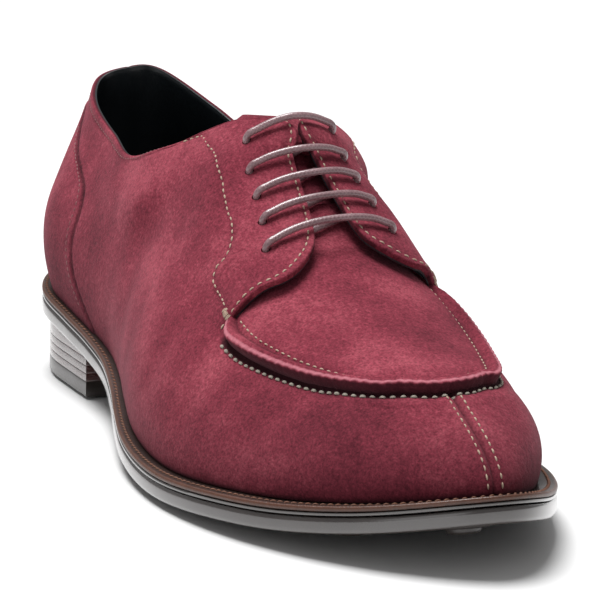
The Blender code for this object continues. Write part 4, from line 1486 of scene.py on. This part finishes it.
        rows = (
            ("facing", lifted(self.seam_lines(self.facing_seam.places)), quarters, beige,
             thread.beige_thread, 2.7, 0.16),
            ("throat", free[0], quarters, beige, thread.beige_thread, 2.7, 0.14),
            ("topline", free[1], quarters, fine, thread.tonal_thread, 2.2, 0.05),
            ("toe", lifted(toe), quarters, beige, thread.beige_thread, 2.6, 0.16),
            ("counter", lifted([last.line(behind, side) for side in Side]), quarters, fine,
             thread.tonal_thread, 2.2, 0.1),
            ("base", lifted(self.apron_edges(-0.027)), quarters, thick, thread.base_thread, 2.9, 0.4),
            ("inner", self.apron_edges(0.064, 0.9), apron, beige, thread.beige_thread, 2.7, 0.05),
            ("tacks", lifted(tacks), quarters, bead(2.2, 0.26, slant=90.0), thread.beige_thread, 0.55, 0.2),
        )
        for name, lines, surface, stitch, strand, spacing, lift in rows:
            sewn = self.stitches.sew("stitches_" + name, last, lines, surface, stitch, strand, spacing, lift)
            wear_on(sewn, Slot.LACE)

    def beside_toe(self, share: float, side: Side) -> float:
        """Turn of the stitches beside the toe's seam at a share of the rib."""
        step = 0.02
        ends = self.last.skin(np.array([1.0, 1 - step]), np.array([share, share]), side)
        return 1 - step * self.toe_rows / float(np.linalg.norm(ends[1] - ends[0]))

    def edge_line(self, side: Side, span: tuple[float, float]) -> Array:
        """A line inside the panel's free edge, between two rows of its table."""
        at = np.linspace(span[0], span[1], 60)
        foot, turned, top, raised = self.panel_stations(side, at)
        points = []
        for k in range(len(at)):
            climb = np.linspace(0.8, 1, 41)
            t = np.clip(foot[k] + (turned[k] - foot[k]) * climb ** self.panel_bend, 0, 1)
            rib = self.last.skin(t, top[k] * climb, side)
            back = runs(rib[::-1])
            here = np.array([np.interp(self.seam_inset, back, rib[::-1, axis]) for axis in range(3)])
            pick = np.interp(self.seam_inset, back, climb[::-1])
            normal = self.last.normal(np.interp(pick, climb, t), top[k] * pick, side)
            points.append(here + normal * self.tab_lift * raised[k])
        return smooth_line(np.array(points), 0.8)


@dataclass
class Lace:
    """The lace through its ten holes."""

    last: Last
    wardrobe: Wardrobe
    upper: Upper
    thickness: float = 2.2
    under: float = 0.6
    over: float = 7.3
    turn: float = 0.02
    neck: float = 0.6
    rim: float = 0.7
    bend: float = 0.4
    slant_parts: tuple[float, ...] = (0.25, 0.50, 0.75)
    return_rows: Places = ((0.598, 0.802), (0.590, 0.788), (0.572, 0.790), (0.546, 0.805), (0.516, 0.820),
                           (0.484, 0.832))
    sides: int = 14
    step: float = 0.7

    def threaded(self, turned: float, share: float, side: Side) -> list[Array]:
        """The lace's places through one hole, from below the facing up and over its edge."""
        tab, wall = self.upper.tab_lift, self.upper.wall
        places = (
            (share + self.turn, self.under),
            (share + self.turn / 8, self.under + self.neck),
            (share, tab - wall / 2),
            (share, tab + self.rim),
            (share + self.turn / 2, self.over - self.bend),
            (share + 2 * self.turn, self.over),
        )
        return [self.last.place(turned, s, side, lift) for s, lift in places]

    def bar(self, row: tuple[float, ...]) -> list[Array]:
        """One bar, up through the lateral hole and down through the medial one."""
        turned, lateral, medial = row
        crest = self.last.place(turned, 1.0, Side.MEDIAL, self.over)
        down = self.threaded(turned, medial, Side.MEDIAL)[::-1]
        return self.threaded(turned, lateral, Side.LATERAL) + [crest] + down

    def slant(self, above: tuple[float, ...], below: tuple[float, ...]) -> list[Array]:
        """The hidden run from a medial hole to the next lateral one."""
        run = []
        for part in self.slant_parts:
            across = 1 - 2 * part
            side = Side.MEDIAL if across > 0 else Side.LATERAL
            edge = above[2] if side is Side.MEDIAL else below[1]
            t = above[0] + (below[0] - above[0]) * part
            run.append(self.last.place(t, 1 - abs(across) * (1 - edge), side, self.under))
        return run

    def build(self) -> Piece:
        """The lace as one round braided cord, with a map along and around it."""
        rows = self.upper.hole_rows
        route = self.bar(rows[0])
        for above, below in zip(rows, rows[1:]):
            route += self.slant(above, below) + self.bar(below)
        route += [self.last.place(t, s, Side.MEDIAL, self.under) for t, s in self.return_rows]
        line = smooth_line(np.array(route), self.step)
        ahead = unit(np.gradient(line, axis=0))
        across = np.cross(ahead[0], (0.3, 0.5, 0.8))
        turns = np.linspace(0, 2 * math.pi, self.sides, endpoint=False)
        rings = []
        for middle, along in zip(line, ahead):
            across = unit(across - along * (across @ along))
            second = np.cross(along, across)
            rings.append(middle + self.thickness / 2 * (np.cos(turns)[:, None] * across
                                                        + np.sin(turns)[:, None] * second))
        points = (np.concatenate(rings) - self.last.origin()) * METRE
        faces = []
        for i in range(len(line) - 1):
            for k in range(self.sides):
                n = (k + 1) % self.sides
                faces.append((i * self.sides + k, i * self.sides + n, (i + 1) * self.sides + n,
                              (i + 1) * self.sides + k))
        mesh = bpy.data.meshes.new("lace")
        mesh.from_pydata(points.tolist(), [], faces + [tuple(range(self.sides))[::-1],
                                                       tuple(range(len(points) - self.sides, len(points)))])
        along = runs(line) / self.thickness
        layer = mesh.uv_layers.new(name="cord")
        for polygon in mesh.polygons[:len(faces)]:
            ring, k = divmod(polygon.index, self.sides)
            corners = ((k, ring), (k + 1, ring), (k + 1, ring + 1), (k, ring + 1))
            for loop, (turned, row) in zip(polygon.loop_indices, corners):
                layer.data[loop].uv = (turned / self.sides, along[row])
        mesh.materials.append(self.wardrobe.lace)
        return wear_on(finished("lace", mesh), Slot.LACE, "laces")


Height = Callable[[Array], Array]


@dataclass
class Ring:
    """One ring of a plate's edge: how far inside the edge it lies, and its height as a function of x."""

    inset: float
    height: Height
    slot: int = 0
    pale_edge: float = 0.0


def ground(x: Array) -> Array:
    """The floor's height."""
    return np.zeros_like(x)


def raised_by(base: Height, level: float) -> Height:
    """A height over another one."""
    return lambda x: base(x) + level


def rings_over(base: Height, rows: Places) -> list[Ring]:
    """Rings from rows of inset and level over a base."""
    return [Ring(inset, raised_by(base, level)) for inset, level in rows]


@dataclass
class Sole:
    """Midsole, welt, outsole with studs, heel and sock."""

    last: Last
    wardrobe: Wardrobe
    stitches: StitchTree
    turns: int = 170
    insole: float = 3.0
    insole_ends: tuple[float, float] = (0.03, 0.94)
    insole_clearance: float = 0.3
    wall: float = 2.2
    stud_snap: float = 0.6
    stud_ring: float = 14.4
    moat: float = 0.8
    channel: float = 8.0
    channel_depth: float = 0.5
    breast: float = 74.0
    heel_inset: float = 2.6
    heel_stud: float = 0.8
    top_piece: float = 6.0
    lift: float = 2.6
    lifts: int = 4
    nail_inset: float = 7.0
    nail_turns: tuple[float, float] = (0.06, 0.28)
    nails: int = 8
    welt_pitch: float = 2.5
    welt_stitch_share: float = 0.45
    stud_rows: Table = (
        (0.935, 0.50), (0.860, 0.24), (0.785, 0.18), (0.705, 0.16), (0.625, 0.17), (0.860, 0.76),
        (0.785, 0.82), (0.705, 0.84), (0.625, 0.83), (0.825, 0.50), (0.735, 0.50), (0.650, 0.50),
    )
    heel_stud_rows: Table = ((0.185, 0.27), (0.185, 0.73), (0.085, 0.50))
    stud_profile: Places = (
        (0.0, 2.0), (1.5, 2.0), (2.0, 1.7), (2.6, 1.7), (3.0, 2.0), (4.3, 2.0), (4.8, 1.75), (5.0, 1.2),
        (5.3, -0.6), (6.1, -0.6), (6.3, 0.1), (6.6, 0.42), (7.1, 0.42), (7.4, 0.1), (7.6, -0.8),
    )
    heel_stud_profile: Places = (
        (0.0, 0.8), (1.5, 0.8), (2.0, 0.45), (2.6, 0.45), (3.0, 0.8), (4.3, 0.8), (4.8, 0.6), (5.0, 0.1),
        (5.3, -0.75), (6.1, -0.75), (6.3, 0.05), (6.6, 0.32), (7.1, 0.32), (7.4, 0.05), (7.6, -0.85),
    )
    nail_profile: Places = ((0.0, 0.25), (0.7, 0.22), (1.2, 0.12), (1.45, 0.0), (1.5, -0.2))

    def edge(self, t: Array, side: Side, inset: float) -> Array:
        """Plan points a distance inside the sole's edge."""
        return self.last.sole_edge(t, side) - inset * self.last.sole_outward(t, side)

    def plate(self, name: str, rings: Sequence[Ring], materials: Sequence[Material],
              edge: Callable, turns: Array, spans: int = 16,
              dent: Height | None = None) -> Piece:
        """A plate with a modelled edge, ringed from the middle of its underside to the middle of its top.

        Args:
            name: Name of the piece.
            rings: The rings, the first on the underside and the last on the top.
            materials: Materials in the order of the rings' slots.
            edge: Plan points for turns, a side and an inset.
            turns: Turns along the edge.
            spans: Faces across the plate.
            dent: Change of height over the underside, for plan points.

        Returns:
            The object.
        """
        loops = []
        for ring in rings:
            lateral = edge(turns, Side.LATERAL, ring.inset)
            medial = edge(turns, Side.MEDIAL, ring.inset)
            shares = np.linspace(0, 1, spans + 1)[1:-1, None]
            front = lateral[-1] * (1 - shares) + medial[-1] * shares
            plan = np.concatenate([lateral, front, medial[::-1]])
            loops.append(np.concatenate([plan, ring.height(plan[:, :1])], 1))
        parts = MeshParts()
        for low, high, before, ring in zip(loops, loops[1:], rings, rings[1:]):
            pale_edge = np.broadcast_to([before.pale_edge, ring.pale_edge], (len(low), 2))
            parts.add_grid(np.stack([low, high], 1), True, ring.slot, {"pale_edge": pale_edge})
        for ring, bend in ((rings[0], dent), (rings[-1], None)):
            shares = np.linspace(0, 1, spans + 1)[None, :, None]
            lateral = edge(turns, Side.LATERAL, ring.inset)[:, None]
            medial = edge(turns, Side.MEDIAL, ring.inset)[:, None]
            plan = lateral * (1 - shares) + medial * shares
            height = ring.height(plan[..., :1])
            if bend is not None:
                height = height + bend(plan)[..., None]
            parts.add_grid(np.concatenate([plan, height], -1), False, ring.slot, {"pale_edge": np.array(ring.pale_edge)})
        return parts.build(name, self.last.origin(), materials)

    def welt(self) -> tuple[Piece, Piece]:
        """The welt on the midsole, each with its own edge."""
        seat = self.last.seat
        turns = np.linspace(0, 1, self.turns)
        rings = rings_over(seat, ((11.0, -1.75), (0.9, -1.75), (0.35, -1.65), (0.05, -1.3), (0.0, -0.9),
                                  (0.1, -0.4), (0.4, -0.12), (0.9, -0.02), (1.6, 0.0), (11.0, 0.0)))
        # Paler round the welt's rounded edge, in noisy spots: a painted highlight along the top of the
        # rounding, and a paler edge face.
        for ring, pale_edge in zip(rings[2:9], (0.3, 0.7, 0.9, 0.9, 0.8, 0.45, 0.1)):
            ring.pale_edge = pale_edge
        welt = self.plate("welt", rings, [self.wardrobe.welt], self.edge, turns, 8)
        rings = rings_over(seat, ((6.0, -2.9), (0.6, -2.9), (0.2, -2.75), (0.1, -2.4), (0.2, -2.0),
                                  (0.6, -1.8), (6.0, -1.8)))
        middle = self.plate("midsole", rings, [self.wardrobe.sole_edge], self.edge, turns, 8)
        return wear_on(welt, Slot.WELT, "midsole_welt"), wear_on(middle, Slot.WELT)

    def outsole(self) -> Piece:
        """The outsole with its sewn channel and a moat round each stud."""
        deep, half = self.channel_depth, self.channel
        rings = rings_over(self.last.sole_rise, (
            (half + 1.3, 0.0), (half + 0.6, 0.0), (half + 0.35, deep), (half - 0.35, deep), (half - 0.6, 0.0),
            (3.0, 0.0), (1.2, 0.05), (0.5, 0.25), (0.1, 0.8), (0.0, 1.6), (0.0, 3.4), (0.1, 4.2), (0.5, 4.8),
            (1.0, 5.0), (8.0, 5.0)))
        for ring in rings[8:14]:
            ring.slot = 1
        piece = self.plate("outsole_rubber", rings, [self.wardrobe.rubber, self.wardrobe.sole_edge],
                           self.edge, np.linspace(0, 1, 260), 60,
                           self.moats([self.stud_place(*row)[0] for row in self.stud_rows]))
        return wear_on(piece, Slot.OUTSOLE, "outsole")

    def moats(self, places: Sequence[Array]) -> Height:
        """How far a face is drawn up in a ring round each stud."""
        def raised(plan: Array) -> Array:
            """The change of height at plan points."""
            up = np.zeros(plan.shape[:2])
            for place in places:
                away = np.linalg.norm(plan - place[:2], axis=-1)
                up = np.maximum(up, self.moat * ease((self.stud_ring / 2 - away) / 1.0))
            return up
        return raised

    def sole_place(self, along: float, across: float) -> Array:
        """Plan point of the sole, from the lateral edge (0) to the medial one (1)."""
        t = self.last.turn(along)
        lateral, medial = (self.last.sole_edge(t, side) for side in Side)
        return lateral * (1 - across) + medial * across

    def stud_place(self, along: float, across: float) -> tuple[Array, Array]:
        """Middle of a stud on the underside and its downward axis."""
        plan = self.sole_place(along, across)
        x = plan[0]
        rise = float(self.last.sole_rise(x))
        if rise - self.last.stud_drop < self.stud_snap:
            return np.array([*plan, self.last.stud_drop]), np.array([0.0, 0.0, -1.0])
        slope = float(self.last.sole_rise(x + 1) - self.last.sole_rise(x - 1)) / 2
        return np.array([*plan, rise]), unit(np.array([slope, 0.0, -1.0]))

    def studs(self) -> Piece:
        """The studs with their raised rings, below the forefoot and the heel."""
        places = [self.stud_place(*row) for row in self.stud_rows]
        down = np.array([0.0, 0.0, -1.0])
        below_heel = [(np.array([*self.sole_place(*row), self.heel_stud]), down)
                      for row in self.heel_stud_rows]
        tree = self.stud_tree()
        pieces = []
        for name, profile, spots in (("studs_forefoot", self.stud_profile, places),
                                     ("studs_heel", self.heel_stud_profile, below_heel)):
            shape = turned_guide(profile, 24)
            mesh = bpy.data.meshes.new(name)
            mesh.from_pydata([tuple((spot - self.last.origin()) * METRE) for spot, axis in spots], [], [])
            layer = mesh.attributes.new("axis", "FLOAT_VECTOR", "POINT")
            axes = np.concatenate([axis for spot, axis in spots])
            layer.data.foreach_set("vector", axes.astype(np.float32))
            pieces.append(grow(name, mesh, tree, {"Stud": shape, "Material": self.wardrobe.rubber}))
        wear_on(pieces[1], Slot.TOP_PIECE)
        return wear_on(pieces[0], Slot.OUTSOLE)

    @staticmethod
    def stud_tree() -> Tree:
        """Geometry Nodes that stand a shape on each point, along the point's own axis."""
        tree, board, source, sink = new_group(
            "studs", "GeometryNodeTree",
            [("Geometry", "NodeSocketGeometry", None), ("Stud", "NodeSocketObject", None),
             ("Size", "NodeSocketFloat", 1.0), ("Material", "NodeSocketMaterial", None)],
            [("Geometry", "NodeSocketGeometry")])
        axis = board.add("GeometryNodeInputNamedAttribute", {"Name": "axis"}, data_type="FLOAT_VECTOR")
        turned = board.add("FunctionNodeAxesToRotation", {0: axis.outputs[0]}, primary_axis="Z",
                           secondary_axis="X")
        points = board.add("GeometryNodeMeshToPoints", {"Mesh": source.outputs["Geometry"]})
        shape = board.add("GeometryNodeObjectInfo", {"Object": source.outputs["Stud"]})
        stood = board.add("GeometryNodeInstanceOnPoints", {
            "Points": points.outputs[0], "Instance": shape.outputs["Geometry"],
            "Rotation": turned.outputs[0], "Scale": source.outputs["Size"]})
        end_tree(board, sink, stood.outputs[0], source.outputs["Material"])
        return tree

    def heel_edge(self, t: Array, side: Side, inset: float) -> Array:
        """Plan points of the heel, its breast moved back with the inset."""
        whole = self.last.turn(self.breast / self.last.length)
        part = self.last.turn((self.breast - inset) / self.last.length)
        return self.edge(t * part / whole, side, self.heel_inset + inset)

    def heel(self) -> None:
        """Lifts, top piece and nails."""
        last = self.last
        breast_turn = float(last.turn(self.breast / last.length))
        for i in range(self.lifts):
            low = raised_by(ground, self.top_piece + i * self.lift)
            topmost = i + 1 == self.lifts
            high = raised_by(last.sole_rise, -last.gap) if topmost else raised_by(low, self.lift)
            rings = (rings_over(low, ((5.0, 0.0), (0.22, 0.0), (0.04, 0.12), (0.0, 0.4)))
                     + rings_over(high, ((0.0, -0.3), (0.2, 0.0), (5.0, 0.0))))
            piece = self.plate("heel_layer_%d" % (i + 1), rings, [self.wardrobe.heel], self.heel_edge,
                               np.linspace(0, breast_turn, 60), 10)
            wear_on(piece, Slot.HEEL, "heel_lift_%d" % (i + 1))
        base, top = self.heel_stud, self.top_piece
        rings = rings_over(ground, (
            (4.6, base), (4.3, base), (4.1, base + 0.6), (3.5, base + 0.6), (3.3, base), (0.8, base),
            (0.3, base + 0.2), (0.0, base + 0.7), (0.0, top - 0.4), (0.25, top), (5.0, top)))
        dents = self.moats([self.sole_place(*row) for row in self.heel_stud_rows])
        piece = self.plate("heel_top_rubber", rings, [self.wardrobe.rubber], self.heel_edge,
                           np.linspace(0, breast_turn, 120), 70, dents)
        wear_on(piece, Slot.TOP_PIECE, "heel_top_piece")
        head = turned_guide(self.nail_profile, 16)
        places = np.linspace(*self.nail_turns, self.nails // 2)
        number = 0
        for side in Side:
            for t in places:
                number += 1
                plan = self.edge(np.float64(t), side, self.heel_inset + self.nail_inset)
                mesh = head.data.copy()
                mesh.transform(Matrix.Rotation(math.pi, 4, "X"))
                mesh.transform(Matrix.Translation((np.array([*plan, base]) - last.origin()) * METRE))
                mesh.materials.append(self.wardrobe.brass)
                nail = finished("nail_head_%d" % number, mesh, recalculate=False)
                wear_on(nail, Slot.NAIL, "heel_nail_%d" % number)

    def sock(self) -> Piece:
        """The leather sock over the insole, turned up a little at its edge."""
        last = self.last
        turns = np.linspace(*self.insole_ends, 120)

        def edge(t: Array, side: Side, inset: float) -> Array:
            """Plan points inside the upper's wall."""
            away = self.wall + self.insole_clearance + inset
            return last.feather_line(t, side) - away * last.sole_outward(t, side)

        thick = self.insole
        rings = rings_over(raised_by(last.seat, last.gap), (
            (4.0, 0.0), (0.3, 0.0), (0.0, 0.4), (0.0, thick - 0.5), (0.3, thick - 0.1), (1.5, thick),
            (4.0, thick - 0.15)))
        piece = self.plate("sock", rings, [self.wardrobe.sock], edge, turns, 14)
        return wear_on(piece, Slot.LINING, "insole")

    def sew(self, welt: Piece, outsole: Piece) -> None:
        """The stitches on the welt and in the outsole's channel."""
        last = self.last
        top = []
        below = []
        t = np.linspace(0, 1, 300)
        for side in Side:
            inside = (last.welt_show(t) * self.welt_stitch_share)[:, None]
            middle = self.edge(t, side, 0.0) - last.sole_outward(t, side) * inside
            top.append(np.concatenate([middle, last.seat(middle[:, :1])], 1))
            u = np.linspace(float(last.turn(self.breast / last.length)) + 0.01, 1, 240)
            under = self.edge(u, side, self.channel)
            below.append(np.concatenate([under, last.sole_rise(under[:, :1]) + self.channel_depth], 1))
        wear_on(self.stitches.sew("stitches_welt", last, top, welt, bead(2.0, 0.40, slant=28.0),
                                  self.wardrobe.welt_thread, self.welt_pitch, 0.12), Slot.LACE)
        wear_on(self.stitches.sew("stitches_channel", last, below, outsole, bead(2.3, 0.38),
                                  self.wardrobe.welt_thread, 3.1, 0.0), Slot.LACE)


def turned_guide(profile: Places, sides: int) -> Piece:
    """A turned shape about +Z from its profile of radius and height, from the middle outwards."""
    turns = np.linspace(0, 2 * math.pi, sides, endpoint=False)
    points = [(0.0, 0.0, profile[0][1])]
    for radius, height in profile[1:]:
        points += [(radius * math.cos(a), radius * math.sin(a), height) for a in turns]
    faces = [(0, 1 + k, 1 + (k + 1) % sides) for k in range(sides)]
    for i in range(len(profile) - 2):
        low = 1 + i * sides
        faces += [(low + k, low + sides + k, low + sides + (k + 1) % sides, low + (k + 1) % sides)
                  for k in range(sides)]
    faces.append(tuple(range(len(points) - 1, len(points) - sides - 1, -1)))
    return guide("turned", np.array(points) * METRE, faces)


@dataclass
class Studio:
    """Floor, light and a camera at the photograph's angle."""

    last: Last
    azimuth: float = 21.32
    elevation: float = 12.78
    roll: float = 0.73
    distance: float = 1260.0
    focal_px: float = 1876.7
    frame_px: float = 600.0
    target: tuple[float, float, float] = (150.0, 0.0, 40.0)
    target_px: tuple[float, float] = (168.6, 440.76)
    sensor: float = 36.0
    fill: float = 0.86
    room: float = 0.30
    lamps: tuple[tuple[str, tuple[float, float, float], float, float], ...] = (
        ("key", (-0.65, -0.35, 3.2), 2.0, 160.0),
        ("fill", (1.0, -1.3, 0.5), 1.2, 2.5),
    )

    def photo_basis(self) -> tuple[Array, Array]:
        """Place and upward direction of the photograph's camera."""
        a, e, r = (math.radians(value) for value in (self.azimuth, self.elevation, self.roll))
        back = np.array([math.cos(a) * math.cos(e), -math.sin(a) * math.cos(e), math.sin(e)])
        right = unit(np.cross(-back, [0, 0, 1]))
        up = np.cross(right, -back)
        right, up = right * math.cos(r) + up * math.sin(r), -right * math.sin(r) + up * math.cos(r)
        eye = np.array(self.target) + back * self.distance
        half = self.frame_px / 2
        ray = unit(np.array([self.target_px[0] - half, half - self.target_px[1], -self.focal_px]))
        swing = np.array(Vector((0, 0, -1)).rotation_difference(Vector(ray)).to_matrix())
        basis = np.stack([right, up, back], 1) @ swing.T
        return (eye - self.last.origin()) * METRE, basis[:, 1]

    def camera(self) -> Piece:
        """The photograph's viewpoint, aimed at the one shoe and drawn in until it fills the frame."""
        eye, up = self.photo_basis()
        low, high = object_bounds()
        points = np.array([tuple(node.matrix_world @ v.co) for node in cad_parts.values()
                           for v in node.data.vertices])
        aim = np.array((low + high) / 2)
        for _ in range(4):
            back = unit(eye - aim)
            right = unit(np.cross(up, back))
            above = np.cross(back, right)
            seen = (points - eye) @ np.stack([right, above, back], 1)
            flat = seen[:, :2] / -seen[:, 2:]
            middle = (flat.min(0) + flat.max(0)) / 2
            aim = aim + (right * middle[0] + above * middle[1]) * np.linalg.norm(eye - aim)
        data = bpy.data.cameras.new("camera")
        data.sensor_width = self.sensor
        data.lens = self.sensor * self.fill / float((flat.max(0) - flat.min(0)).max())
        data.clip_start = 0.05
        thing = bpy.data.objects.new("camera", data)
        link(thing)
        basis = Matrix(np.stack([right, above, back], 1).tolist()).to_4x4()
        thing.matrix_world = Matrix.Translation(eye) @ basis
        bpy.context.scene.camera = thing
        return thing

    def floor(self) -> Piece:
        """A pale floor with a faint gloss."""
        material, board, shader, _ = new_material("studio_floor")
        board.fill(shader, {"Base Color": (0.86, 0.86, 0.86, 1.0), "Roughness": 0.35})
        mesh = bpy.data.meshes.new("floor")
        half = 12.0
        corners = [(-half, -half, 0), (half, -half, 0), (half, half, 0), (-half, half, 0)]
        mesh.from_pydata(corners, [], [(0, 1, 2, 3)])
        mesh.materials.append(material)
        thing = bpy.data.objects.new("floor", mesh)
        link(thing)
        thing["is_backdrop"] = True
        return thing

    def lamp(self, name: str, place: tuple[float, float, float], size: float, power: float) -> None:
        """A soft box aimed at the shoe."""
        data = bpy.data.lights.new(name, "AREA")
        data.shape = "DISK"
        data.size = size
        data.energy = power
        thing = bpy.data.objects.new(name, data)
        thing.location = place
        thing.rotation_euler = (-Vector(place)).to_track_quat("-Z", "Y").to_euler()
        link(thing)

    def light(self) -> None:
        """A white room with a broad key from above the heel's lateral side and a softer fill."""
        world = bpy.data.worlds.new("studio")
        world.use_nodes = True
        background = world.node_tree.nodes["Background"]
        background.inputs["Color"].default_value = (1.0, 1.0, 1.0, 1.0)
        background.inputs["Strength"].default_value = self.room
        bpy.context.scene.world = world
        for name, place, size, power in self.lamps:
            self.lamp(name, place, size, power)
        bpy.context.scene.view_settings.view_transform = "Standard"


def main() -> None:
    """Build each sub-assembly and report its pieces."""
    logging.basicConfig(level=logging.INFO, format="%(name)s %(message)s")
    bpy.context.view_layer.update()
    last = Last()
    studio = Studio(last)
    studio.camera()
    studio.floor()
    studio.light()
    wardrobe = Wardrobe()
    stitches = StitchTree()
    upper = Upper(last, wardrobe, stitches)
    quarters = upper.quarters()
    upper.lining()
    apron = upper.apron()
    upper.tongue()
    upper.sew(quarters, apron)
    Lace(last, wardrobe, upper).build()
    sole = Sole(last, wardrobe, stitches)
    welt, _ = sole.welt()
    outsole = sole.outsole()
    sole.studs()
    sole.heel()
    sole.sock()
    sole.sew(welt, outsole)


if __name__ == "__main__":
    main()
